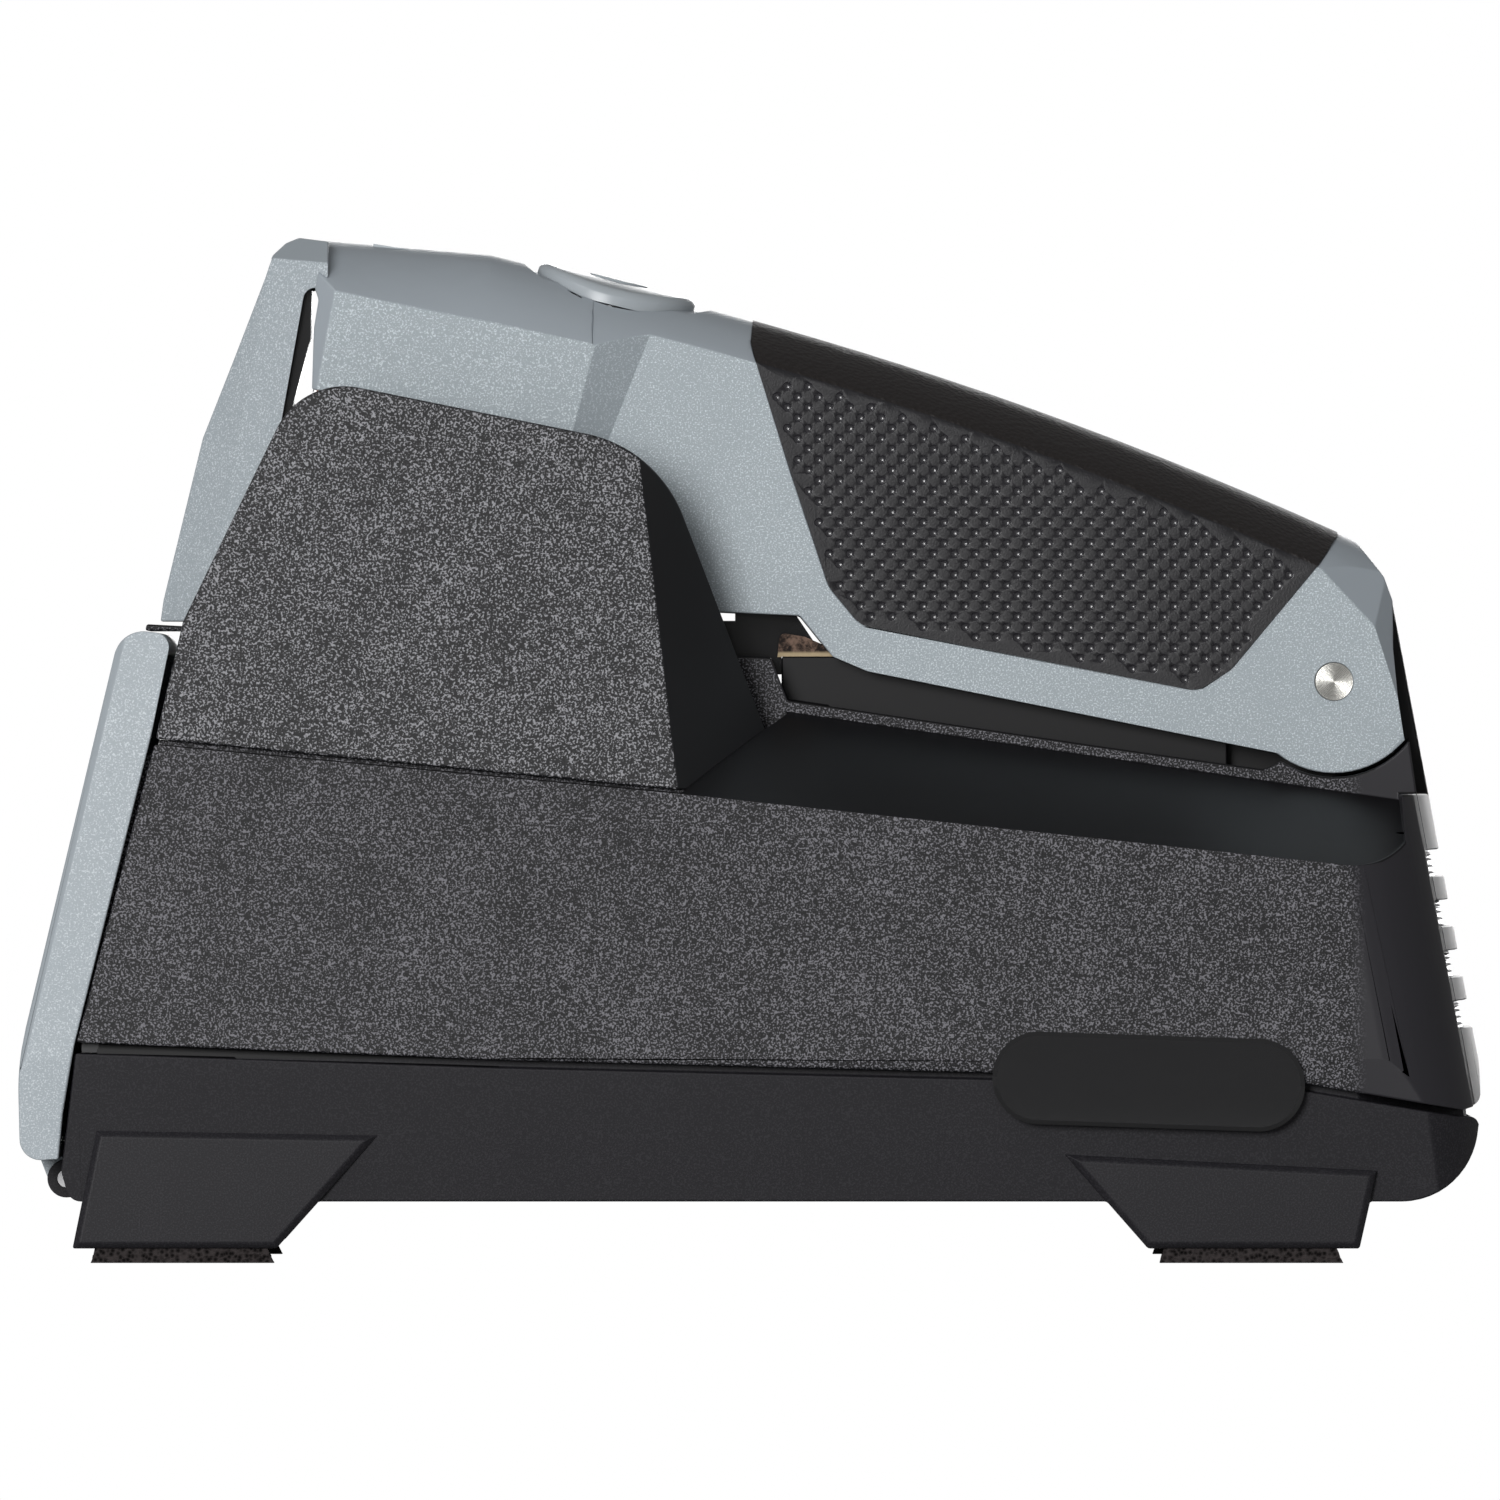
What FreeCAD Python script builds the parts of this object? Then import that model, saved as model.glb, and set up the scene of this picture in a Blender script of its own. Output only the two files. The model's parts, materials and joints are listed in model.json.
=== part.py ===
import FreeCAD, Part
import math
import os

os.makedirs("parts", exist_ok=True)

# Electric knife sharpener in millimetres. X runs from the front to the rear, Y runs to the left
# side, Z runs up, and the middle plane is Y = 0. Outline points are written at the drawn sizes
# below, and px, py and pz turn them into real ones when an overall size is changed.

# Overall sizes
overall_length = 244.0
overall_height = 171.2
overall_width = 116.0
drawn_length = 244.0
drawn_height = 171.2
drawn_width = 116.0

# Walls, gaps and slopes
wall = 2.6
tongue_gap = 0.1
side_draft = 9.0
slot_angle = 15.0
lip_depth = 2.0

# Half widths, measured from the middle plane
arm_half = 18.5
head_half = 23.0
head_half_low = 21.2
ridge_half = 20.5
knuckle_half = 10.4
knuckle_gap = 0.5
rear_panel_half = 36.0

# Rounding of the rear
corner_radius = 15.0
rear_bulge = 3.2
rear_lean = 0.188

# Crown across the roof of the arm and the head
crown_radius = 29.0
grip_skin = 1.5
grip_proud = 0.25

# Belt drive
roller_radius = 15.7
roller_width = 13.6
belt_width = 12.7
belt_thickness = 0.8
belt_gap = 0.3
axle_radius = 3.0
spin_gap = 0.08

# Arm hinge
pin_radius = 3.15
pin_gap = 0.06
arm_end_radius = 15.35
cradle_gap = 0.65
knuckle_radius = 17.3

# Button, door hinge and screws
button_radius = 13.6
button_gap = 0.3
button_crown = 52.0
screw_radius = 2.0
door_barrel_radius = 3.2
door_pin_radius = 1.5

# Louvres
louvre_count = 4
louvre_pitch = 8.4
louvre_height = 4.4
louvre_skin = 1.6

y_axis = FreeCAD.Vector(0, 1, 0)
z_axis = FreeCAD.Vector(0, 0, 1)
length_scale = overall_length / drawn_length
height_scale = overall_height / drawn_height
width_scale = overall_width / drawn_width


def px(x):
    return x * length_scale


def py(y):
    return y * width_scale


def pz(z):
    return z * height_scale


def spot(x, y, z):
    """A real point from drawn X and Z and a real Y."""
    return FreeCAD.Vector(px(x), y, pz(z))


def rounded_wire(points, place):
    """Close a line through the points, with an arc wherever a point names a radius."""
    count = len(points)
    entries = []
    middles = []
    exits = []
    for i in range(count):
        here = FreeCAD.Vector(points[i][0], points[i][1], 0)
        radius = points[i][2] if len(points[i]) > 2 else 0
        if radius == 0:
            entries.append(here)
            middles.append(None)
            exits.append(here)
            continue
        back = FreeCAD.Vector(points[i - 1][0], points[i - 1][1], 0) - here
        ahead = FreeCAD.Vector(points[(i + 1) % count][0], points[(i + 1) % count][1], 0) - here
        back.normalize()
        ahead.normalize()
        half = back.getAngle(ahead) / 2
        inward = back + ahead
        inward.normalize()
        centre = here + inward * (radius / math.sin(half))
        reach = radius / math.tan(half)
        entries.append(here + back * reach)
        middles.append(centre - inward * radius)
        exits.append(here + ahead * reach)
    edges = []
    for i in range(count):
        if middles[i] is not None:
            edges.append(Part.Arc(place(entries[i]), place(middles[i]), place(exits[i])).toShape())
        ahead = (i + 1) % count
        if exits[i].distanceToPoint(entries[ahead]) > 1e-6:
            edges.append(Part.makeLine(place(exits[i]), place(entries[ahead])))
    return Part.Wire(edges)


def side_prism(points, y_low, y_high):
    """Extrude a side outline of drawn X and Z points between two real Y values."""
    scaled = [(px(p[0]), pz(p[1])) + tuple(p[2:]) for p in points]
    wire = rounded_wire(scaled, lambda v: FreeCAD.Vector(v.x, y_low, v.y))
    return Part.Face(wire).extrude(FreeCAD.Vector(0, y_high - y_low, 0))


def side_slab(points, half):
    return side_prism(points, -half, half)


def front_prism(points, x_low, x_high):
    """Extrude a front outline of real Y and Z points between two real X values."""
    wire = rounded_wire(points, lambda v: FreeCAD.Vector(x_low, v.x, v.y))
    return Part.Face(wire).extrude(FreeCAD.Vector(x_high - x_low, 0, 0))


class Leaning:
    """A flat drawing plane square to a leaning direction, so that arcs swept along it stay round."""

    def __init__(self, z_drawn, lean):
        self.origin = FreeCAD.Vector(0, 0, pz(z_drawn))
        self.up = FreeCAD.Vector(lean)
        self.up.normalize()
        self.right = y_axis.cross(self.up)
        self.right.normalize()
        self.left = self.up.cross(self.right)

    def flat(self, point):
        """Coordinates in the plane of a plan point of real X and Y."""
        offset = FreeCAD.Vector(point[0], point[1], 0)
        offset = offset - self.up * offset.dot(self.up)
        return (offset.dot(self.right), offset.dot(self.left)) + tuple(point[2:])

    def place(self, v):
        return self.origin + self.right * v.x + self.left * v.y

    def sweep(self, wire, below, above):
        wire = wire.copy()
        wire.translate(self.up * -below)
        return Part.Face(wire).extrude(self.up * (below + above))


def leaning_prism(points, z_drawn, lean, below, above):
    """Sweep a plan outline of real X and Y points, drawn at one height, along a leaning vector."""
    plane = Leaning(z_drawn, lean)
    return plane.sweep(rounded_wire([plane.flat(p) for p in points], plane.place), below, above)


def box(x_low, x_high, y_low, y_high, z_low, z_high):
    """A box between real coordinates."""
    return Part.makeBox(x_high - x_low, y_high - y_low, z_high - z_low, FreeCAD.Vector(x_low, y_low, z_low))


def mirrored(shape):
    return shape.mirror(FreeCAD.Vector(0, 0, 0), FreeCAD.Vector(0, 1, 0))


def both_sides(shape):
    return shape.fuse(mirrored(shape))


def rod(centre, axis, radius, start, end):
    """A cylinder about an axis through centre, from start to end along it."""
    return Part.makeCylinder(radius, end - start, centre + axis * start, axis)


def ring(centre, axis, outer, inner, start, end):
    return rod(centre, axis, outer, start, end).cut(rod(centre, axis, inner, start - 1, end + 1))


def beyond_plane(a, b, c, outside, shift=0.0):
    """A large block beyond the plane through a, b and c, on the side of outside, moved inwards by shift."""
    normal = (b - a).cross(c - a)
    normal.normalize()
    if normal.dot(outside - a) < 0:
        normal = -normal
    along = b - a
    along.normalize()
    up = normal.cross(along)
    size = 400
    middle = a - normal * shift
    corners = [middle + along * (s * size) + up * (t * size) for s, t in ((-1, -1), (1, -1), (1, 1), (-1, 1))]
    face = Part.Face(Part.makePolygon(corners + [corners[0]]))
    return face.extrude(normal * size)


def save(name, shape):
    solids = shape.removeSplitter().Solids
    result = solids[0] if len(solids) == 1 else Part.makeCompound(solids)
    result.exportStep("parts/" + name + ".step")
    size = result.optimalBoundingBox()
    print(name, len(solids), "solids", round(result.Volume), "mm3",
          [round(v, 1) for v in (size.XMin, size.XMax, size.YMin, size.YMax, size.ZMin, size.ZMax)])
    return result


wide = py(70.0)
draft_slope = math.tan(math.radians(side_draft))
draft_start = 34.0


def body_half(z, inset=0.0):
    """Half width of the body and cheeks at a real height, leaning in by the side draft."""
    return py(58.0) - (z - pz(draft_start)) * draft_slope - inset


def body_draft(inset=0.0):
    """Everything between the two leaning sides of the body."""
    low = pz(5.0)
    middle = pz(draft_start)
    high = pz(160.0)
    points = [(-body_half(middle, inset), low), (body_half(middle, inset), low),
              (body_half(middle, inset), middle), (body_half(high, inset), high),
              (-body_half(high, inset), high), (-body_half(middle, inset), middle)]
    return front_prism(points, px(-135.0), px(135.0))


def rear_shape(inset=0.0):
    """Blocks that round the rear corners off and bulge the rear panel, all leaning forward."""
    z = 60.0
    x_middle = px(117.3) - inset
    x_crease = x_middle - rear_bulge
    side = body_half(pz(z), inset)
    lean = FreeCAD.Vector(-rear_lean, 0, 1)
    far = px(150.0)
    plane = Leaning(z, lean)
    corners = [(x_crease, -rear_panel_half), (x_crease, rear_panel_half), (x_crease, wide), (far, wide),
               (far, -wide), (x_crease, -wide), (x_crease, -rear_panel_half)]
    corners = [plane.place(FreeCAD.Vector(*plane.flat(c))) for c in corners]
    middle = plane.place(FreeCAD.Vector(*plane.flat((x_middle, 0))))
    bulge = Part.Wire([Part.Arc(corners[0], middle, corners[1]).toShape(), Part.makePolygon(corners[1:])])
    behind = plane.sweep(bulge, far, far)
    leaning_in = FreeCAD.Vector(-rear_lean, -draft_slope, 1)
    x_corner = x_crease + 0.6
    points = [(x_corner - corner_radius - 6, side), (x_corner, side, corner_radius), (x_corner, 0), (far, 0),
              (far, wide), (x_corner - corner_radius - 6, wide)]
    corner = leaning_prism(points, z, leaning_in, far, far)
    corner = corner.cut(box(-200, 200, -200, rear_panel_half - 4, -200, 200))
    return [behind, corner, mirrored(corner)]


# Heights along the slot floor and the slot's outer wall
floor_front = (-101.0, 106.4)
floor_rear = (3.5, 100.8)
slot_wall_low = FreeCAD.Vector(0, py(29.7), pz(101.2))
slot_wall_high = FreeCAD.Vector(0, py(34.5), pz(147.7))


def slot_wall(z):
    rise = (z - slot_wall_low.z) / (slot_wall_high.z - slot_wall_low.z)
    return slot_wall_low.y + rise * (slot_wall_high.y - slot_wall_low.y)


# Belt line: drive roller low in the body, idler under the head, belt plane leaning back
drive_centre = spot(-86.8, 0, 44.7)
idler_centre = spot(-66.5, 0, 143.5)
belt_up = idler_centre - drive_centre
belt_span = belt_up.Length
belt_up.normalize()
spin_axis = FreeCAD.Vector(belt_up.z, 0, -belt_up.x)
belt_lean = math.degrees(math.atan2(belt_up.x, belt_up.z))
belt_inner = roller_radius + belt_gap
belt_outer = belt_inner + belt_thickness
belt_half = belt_width / 2


def leaned(shape, base):
    """Turn an upright shape into the belt plane's lean and set its origin on base."""
    shape = shape.copy()
    shape.rotate(FreeCAD.Vector(0, 0, 0), y_axis, belt_lean)
    shape.translate(base)
    return shape


# Arm hinge centre
pin_centre = spot(97.75, 0, 96.8)

# Bevel plane at the rear of each cheek, through three points of the side and the ridge
bevel_a = spot(-18.3, body_half(pz(133.0)), 133.0)
bevel_b = spot(-12.0, body_half(pz(78.8)), 78.8)
bevel_c = spot(6.2, py(ridge_half), 92.2)
bevel_block = beyond_plane(bevel_a, bevel_b, bevel_c, spot(100.0, py(80.0), 140.0))

# Main body above the tray. Its top drops to the recess and rises again in a round at the rear.
body_foot = [(-112.0, 36.7), (-41.7, 33.8), (38.7, 31.7), (92.5, 29.8), (118.7, 25.4), (122.2, 26.5, 2.0)]
body_top = [(122.3, 34.8, 4.0), (114.4, 76.4), (111.8, 76.4), (111.8, 64.9, 11.0), (-11.0, 78.0), (-99.2, 86.2)]
body = side_slab(body_foot + body_top, wide).common(body_draft())


def recess_section(x, z_out, z_ridge):
    """A section of the raised middle with the recess sloping down to the body's side."""
    y_out = body_half(pz(z_out))
    slope = (pz(z_ridge) - pz(z_out)) / (y_out - py(ridge_half))
    y_far = y_out + 8
    z_far = pz(z_out) - 8 * slope
    low = pz(z_out) - 20
    points = [(px(x), py(ridge_half), pz(z_ridge)), (px(x), y_far, z_far), (px(x), y_far, low),
              (px(x), py(ridge_half), low)]
    return Part.makePolygon([FreeCAD.Vector(*p) for p in points + points[:1]])


raised = Part.makeLoft([recess_section(-20.0, 78.9, 95.5), recess_section(112.5, 64.8, 76.4)], True, True)
raised = raised.common(body_draft()).common(bevel_block)
body = body.fuse([raised, mirrored(raised)])

# Middle block: slot floor in front, strip walls and the arm's cradle behind
middle_outline = [(-106.0, 60.0), (-99.0, 86.3), (-95.4, 103.0), (-95.2, 105.3), (-101.2, 105.3),
                  floor_front, floor_rear, (6.3, 93.7), (58.3, 86.0), (86.0, 82.1),
                  (97.0, 87.5), (110.3, 87.0), (111.8, 76.3), (112.5, 60.0)]
middle = side_slab(middle_outline, py(ridge_half))
cradle = rod(pin_centre, y_axis, arm_end_radius + cradle_gap, -60, 60)
trough = side_slab([(13.0, 120.0), (13.0, 88.7), (58.3, 81.8), (80.5, 78.3), (97.8, 77.5), (97.8, 120.0)],
                   py(ridge_half) - 1.2)
middle = middle.cut([cradle, trough])
plateau_half = arm_half - wall - grip_skin - 0.6
plateau = side_slab([(5.3, 80.0), (5.3, 101.0), (15.3, 101.0), (20.0, 101.5), (80.0, 88.5), (80.0, 75.0)],
                    plateau_half)
knuckle = side_slab([(79.0, 60.0), (79.0, 88.6), (84.0, 88.6), (98.0, 100.0), (108.0, 110.7), (115.6, 70.5),
                     (116.0, 60.0)], knuckle_half)
knuckle_disc = rod(pin_centre, y_axis, knuckle_radius, -knuckle_half, knuckle_half)
knuckle = knuckle.fuse(knuckle_disc)
body = body.fuse([middle, plateau, knuckle])

# The rear panel leans forward in one bulged face from the spine down to the foot
rear_panel = side_slab([(108.6, 78.0), (114.4, 78.0), (122.3, 36.0), (112.0, 36.0)], py(50.0))
body = body.fuse(rear_panel).cut(rear_shape())

# Ledge under each cheek, set in so that the joint between them reads as a dark groove
cheek_foot = [(-99.0, 87.2), (7.05, 76.9)]
ledge = side_slab([(-98.4, 85.0), (-98.4, 87.1), (-10.5, 78.55), (-10.5, 77.0)], wide)
body = body.fuse(ledge.common(body_draft(lip_depth)))

# Room inside for the motor and the rollers
room_outline = [(-108.8, 20.0), (-108.8, 36.0), (-97.0, 81.0), (-12.0, 74.5), (96.0, 61.5),
                (113.8, 61.5), (121.6, 34.0), (121.6, 20.0)]


def body_room(more=0.0):
    """The hollow of the body, with walls thicker than theirs by more."""
    room = side_slab(room_outline, wide).common(body_draft(wall + more)).cut(rear_shape(louvre_skin + more)[0])
    corner = beyond_plane(spot(96.0, py(58.0), 40.0), spot(116.0, py(40.0), 40.0), spot(92.0, py(58.0), 60.0),
                          spot(130.0, wide, 40.0), more)
    return room.cut([corner, mirrored(corner)])


body = body.cut(body_room())
door_mouth = side_slab([(-118.0, 38.5), (-118.0, 97.0), (-92.0, 97.0), (-104.0, 38.5)], py(32.0))
well_half = belt_outer + 2.6
belt_well = box(-9.0, 9.0, -well_half, well_half, -40.0, belt_span + 40)
body = body.cut([door_mouth, leaned(belt_well, drive_centre)])

# Stop frame that stands into the hollow of the door and closes the joint to the light
stop_frame = side_slab([(-111.2, 38.0), (-99.4, 84.6), (-101.6, 85.0), (-113.4, 38.6)], wide)
stop_frame = stop_frame.common(body_draft(wall + 0.8)).cut(side_slab([(-120.0, 30.0), (-120.0, 96.0),
                                                                     (-90.0, 96.0), (-90.0, 30.0)], py(34.0)))
body = body.fuse(stop_frame)

# Louvre openings between the slats, and the pocket for the curved filter mesh behind them
louvres = []
for i in range(louvre_count):
    z_middle = 66.5 - louvre_pitch * i
    x_middle = 116.0 + rear_lean * louvre_pitch * i
    low = z_middle - louvre_height / 2
    high = z_middle + louvre_height / 2
    louvres.append(side_slab([(x_middle + 8, low + 0.4), (x_middle + 8, high + 0.4), (x_middle - 10, high - 0.4),
                              (x_middle - 10, low - 0.4)], rear_panel_half - 1.5))
mesh_thickness = 0.5
mesh_depth = louvre_skin + 0.02


def behind_slats(half, low, high, thickness):
    """A curved layer just behind the slats."""
    front = side_slab([(100.0, high), (125.0, high), (125.0, low), (100.0, low)], half)
    front = front.cut(rear_shape(mesh_depth)[0])
    return front.common(rear_shape(mesh_depth + thickness)[0])


body = body.cut(louvres + [behind_slats(rear_panel_half + 0.1, 36.9, 71.6, 2.4)])
pin_hole = rod(pin_centre, y_axis, pin_radius, -knuckle_half - 1, knuckle_half + 1)
body = body.cut(pin_hole)
save("base_housing", body)

save("filter_mesh", behind_slats(rear_panel_half, 37.0, 71.5, mesh_thickness))

# Lower tray with the four feet moulded on its sides
tray_top = [(118.9, 24.2), (92.5, 28.6), (38.7, 30.6), (-41.7, 32.5), (-112.2, 34.9)]
tray_outline = [(-114.6, 15.3), (-113.2, 10.2, 2.5), (119.8, 10.2, 13.0), (121.6, 24.4, 1.5)] + tray_top


def tray_draft(inset=0.0):
    low = pz(9.0)
    high = pz(40.0)
    points = [(-py(55.6) + inset, low), (py(55.6) - inset, low), (py(58.0) - inset, high),
              (-py(58.0) + inset, high)]
    return front_prism(points, px(-135.0), px(135.0))


def tray_plan(inset=0.0):
    """The tray seen from above, with its front corners and rear corners rounded."""
    front = px(-115.2) + inset
    rear = px(122.3) - inset
    side = py(58.6) - inset
    points = [(front, -side, 3.0), (rear, -side, corner_radius + 2), (rear, side, corner_radius + 2), (front, side, 3.0)]
    return leaning_prism(points, 0.0, z_axis, 0, pz(60.0))


tray = side_slab(tray_outline, wide).common(tray_draft()).common(tray_plan())
tray_room = side_slab([(-111.6, 50.0), (-111.6, 13.0), (110.0, 13.0, 4.0), (117.5, 22.0), (117.5, 50.0)], wide)
tray_room = tray_room.common(tray_draft(wall)).common(tray_plan(wall))
tray = tray.cut(tray_room)

# Tongue inside the seam, which locates the body and closes the gap to the light
tongue_outline = [(p[0], p[1] + 4.6) for p in tray_top[1:-1]] + [(-108.0, 38.6), (-108.65, 36.2), (-108.65, 30.0), (0.0, 26.0),
                                                                (92.0, 24.0), (119.6, 20.0), (119.6, 30.4)]


tongue = side_slab(tongue_outline, wide).common(body_room(tongue_gap)).cut(body_room(tongue_gap + 1.5))
tongue = tongue.cut(box(px(-120.0), px(-104.0), -py(45.0), py(45.0), 0, pz(60.0)))
tray = tray.fuse(tongue)


def foot(outline):
    """One foot of the near side: a leaning block with its outer edges bevelled."""
    block = side_prism(outline, py(48.0), py(57.6))
    rim = [e for e in block.Edges if min(v.Y for v in e.Vertexes) > py(57.5)]
    return block.makeChamfer(0.9, rim)


front_foot = foot([(-108.7, 22.0), (-112.7, 2.4), (-78.8, 2.4), (-62.0, 21.2)])
rear_foot = foot([(52.5, 18.0), (66.2, 2.4), (101.4, 2.4), (104.3, 15.3)])
foot_room = side_prism([(-130.0, 12.9), (130.0, 12.9), (130.0, 60.0), (-130.0, 60.0)], py(40.0), py(54.4))
tray = tray.fuse(both_sides(front_foot.fuse(rear_foot).cut(foot_room)))
door_centre = spot(-114.2, 0, 13.75)
barrel_half = py(25.0)
lug_outer = py(30.0)
barrel_room = rod(door_centre, y_axis, door_barrel_radius + 0.7, -py(40.0), py(40.0))
tray = tray.cut(barrel_room)
hinge_lug = rod(door_centre, y_axis, door_barrel_radius, barrel_half + 0.6, lug_outer)
lug_web = side_prism([(-114.2, 11.4), (-114.2, 15.0), (-108.0, 15.0), (-108.0, 11.4)], barrel_half + 0.6, lug_outer)
tray = tray.fuse(both_sides(hinge_lug.fuse(lug_web)))
tray = tray.cut(rod(door_centre, y_axis, door_pin_radius, -lug_outer - 1, lug_outer + 1))
screw_places = [spot(x, side * py(40.0), 10.2) for x in (-88.0, 84.0) for side in (-1, 1)]
boss_height = pz(28.0) - pz(10.2)
boss_half = screw_radius + 2.4
head_radius = screw_radius * 1.8
for place in screw_places:
    boss = box(place.x - boss_half, place.x + boss_half, place.y - boss_half, place.y + boss_half,
               place.z + 1.0, place.z + boss_height)
    bore = rod(place, z_axis, screw_radius, -5, 60)
    sink = rod(place, z_axis, head_radius + 0.3, -5, 2.6)
    tray = tray.fuse(boss).cut([bore, sink])

# Power inlet in the far wall of the tray
inlet_low = spot(62.0, py(46.4), 16.0)
inlet_size = FreeCAD.Vector(14.0, 10.0, 9.0)
inlet_gap = 0.2


def inlet_box(grow, depth):
    low = inlet_low - FreeCAD.Vector(grow, grow, grow)
    return Part.makeBox(inlet_size.x + 2 * grow, inlet_size.y + depth, inlet_size.z + 2 * grow, low)


tray = tray.cut(inlet_box(inlet_gap, 6.0))
save("power_inlet", inlet_box(0.0, 0.0).cut(inlet_box(-2.0, 0.0)))
save("lower_tray", tray)

screws = []
for place in screw_places:
    screws.append(rod(place, z_axis, screw_radius, 0.6, 16.6).fuse(rod(place, z_axis, head_radius, 0.6, 2.6)))
save("tray_screws", Part.makeCompound(screws))

pads = []
for x_low, x_high in ((-109.7, -79.2), (68.2, 98.7)):
    pad = side_prism([(x_low, 0.0), (x_high, 0.0), (x_high - 1.0, 2.4), (x_low + 0.6, 2.4)], py(48.8), py(56.6))
    pads.append(pad)
    pads.append(mirrored(pad))
save("foot_pads", Part.makeCompound(pads))

# Cheeks that stand outside the two knife slots
cheek_outline = [cheek_foot[0], (-94.5, 106.7), (-74.7, 147.7, 12.5), (-15.5, 135.7, 22.0), cheek_foot[1]]
cheek = side_prism(cheek_outline, py(ridge_half) + 0.2, wide).common(body_draft())
slot_low = pz(90.0)
slot_top = pz(160.0)
slot_room = front_prism([(-slot_wall(slot_low), slot_low), (slot_wall(slot_low), slot_low),
                         (slot_wall(slot_top), slot_top), (-slot_wall(slot_top), slot_top)],
                        px(-130.0), px(30.0))
above_floor = side_slab([(-130.0, 107.9), floor_rear, (30.0, 99.4), (30.0, 190.0), (-130.0, 190.0)], wide)
cheek = cheek.cut([slot_room.common(above_floor), bevel_block])
save("cheek_left", cheek)
save("cheek_right", mirrored(cheek))

# Guide saddle in front of the belt and the foot of the tower behind it, with faces at the slot angle
contact = FreeCAD.Vector(0, belt_outer, pz(107.0))


def guide_half(z):
    return contact.y + (z - contact.z) * math.tan(math.radians(slot_angle)) - 0.3


def guide_block(x_front, x_rear, z_low, z_high):
    """A block leaning with the belt, whose two faces lie in the guide planes of the slots."""
    faces = front_prism([(-guide_half(z_low), z_low), (guide_half(z_low), z_low), (guide_half(z_high), z_high),
                         (-guide_half(z_high), z_high)], px(-110.0), px(0.0))
    lean = FreeCAD.Vector(belt_up.x / belt_up.z, 0, 1)
    plan = [(x_front, -40.0), (x_rear, -40.0), (x_rear, 40.0), (x_front, 40.0)]
    z_drawn = z_low / height_scale
    return faces.common(leaning_prism(plan, z_drawn, lean, 60, 60))


def belt_x(z):
    """Where the belt's middle line stands at a real height."""
    return drive_centre.x + (z - drive_centre.z) * belt_up.x / belt_up.z


guide_low = pz(106.4)
guide_high = pz(131.0)
tower_low = pz(102.6)
clear_of_belt = belt_half / belt_up.z + 1.1
front_guide = guide_block(belt_x(guide_low) - clear_of_belt - 2.1, belt_x(guide_low) - clear_of_belt,
                          guide_low, guide_high)
save("guide_front", front_guide)

# Tower behind the belt that carries the idler on a sprung carrier, and the wall that closes the slots behind
tower_foot = guide_block(belt_x(tower_low) + clear_of_belt + 2.4, belt_x(tower_low) + clear_of_belt + 20.0,
                         tower_low, guide_high)
carrier_half = 5.8
carrier_front = 9.6
carrier_depth = 6.0
tower_post = leaned(box(10.6, 23.6, -12.0, 12.0, 0, belt_span), drive_centre)
tower_top = side_slab([(-90.0, 104.2), (-90.0, 153.0), (-20.0, 144.0), (-20.0, 103.0)], py(40.0))
slot_back = side_slab([(-50.0, 98.0), (-50.0, 114.0), (-13.0, 114.0), (-8.6, 107.0), (-2.5, 107.0), (-2.5, 112.0),
                       (5.0, 112.0), (12.4, 101.0), (12.4, 98.0)], 8.0)
carrier_room = box(carrier_front - 0.6, carrier_front + carrier_depth + 0.8, -carrier_half - 0.4,
                   carrier_half + 0.4, belt_span - 26.0, belt_span + 40)
tower = tower_foot.fuse([tower_post.common(tower_top), slot_back])
tower = tower.cut([leaned(carrier_room, drive_centre), body])
save("belt_tower", tower)

carrier = leaned(box(carrier_front, carrier_front + carrier_depth, -carrier_half, carrier_half,
                     belt_span - 16.0, belt_span + 8.0), drive_centre)
axle = rod(idler_centre, spin_axis, axle_radius, -belt_half - 0.8, 12.0)
save("tension_carrier", carrier)
save("idler_axle", axle.cut(carrier))


roller_half = roller_width / 2
save("idler_roller", ring(idler_centre, spin_axis, roller_radius, axle_radius + spin_gap, -roller_half, roller_half))
save("drive_roller", ring(drive_centre, spin_axis, roller_radius, axle_radius, -roller_half, roller_half))


def belt_loop(inner, outer, half):
    """A belt round both rollers, made as two ends and two straight legs."""
    solid = rod(drive_centre, spin_axis, outer, -half, half).fuse(rod(idler_centre, spin_axis, outer, -half, half))
    solid = solid.fuse(leaned(box(-half, half, -outer, outer, 0, belt_span), drive_centre))
    hole = rod(drive_centre, spin_axis, inner, -half - 1, half + 1)
    hole = hole.fuse(rod(idler_centre, spin_axis, inner, -half - 1, half + 1))
    hole = hole.fuse(leaned(box(-half - 1, half + 1, -inner, inner, 0, belt_span), drive_centre))
    return solid.cut(hole)


belt = belt_loop(belt_inner, belt_outer, belt_half)
save("abrasive_belt", belt)
print("belt loop length", round(2 * belt_span + 2 * math.pi * (belt_inner + belt_thickness / 2), 1))

# Spring between the tower and the carrier, kept as the plain tube that its turns fill
spring_outer = 2.9
spring_wire = 0.9
spring_foot = drive_centre + spin_axis * (carrier_front + carrier_depth / 2)
save("tension_spring", ring(spring_foot, belt_up, spring_outer, spring_outer - spring_wire,
                            belt_span - 25.8, belt_span - 16.2))

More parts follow.
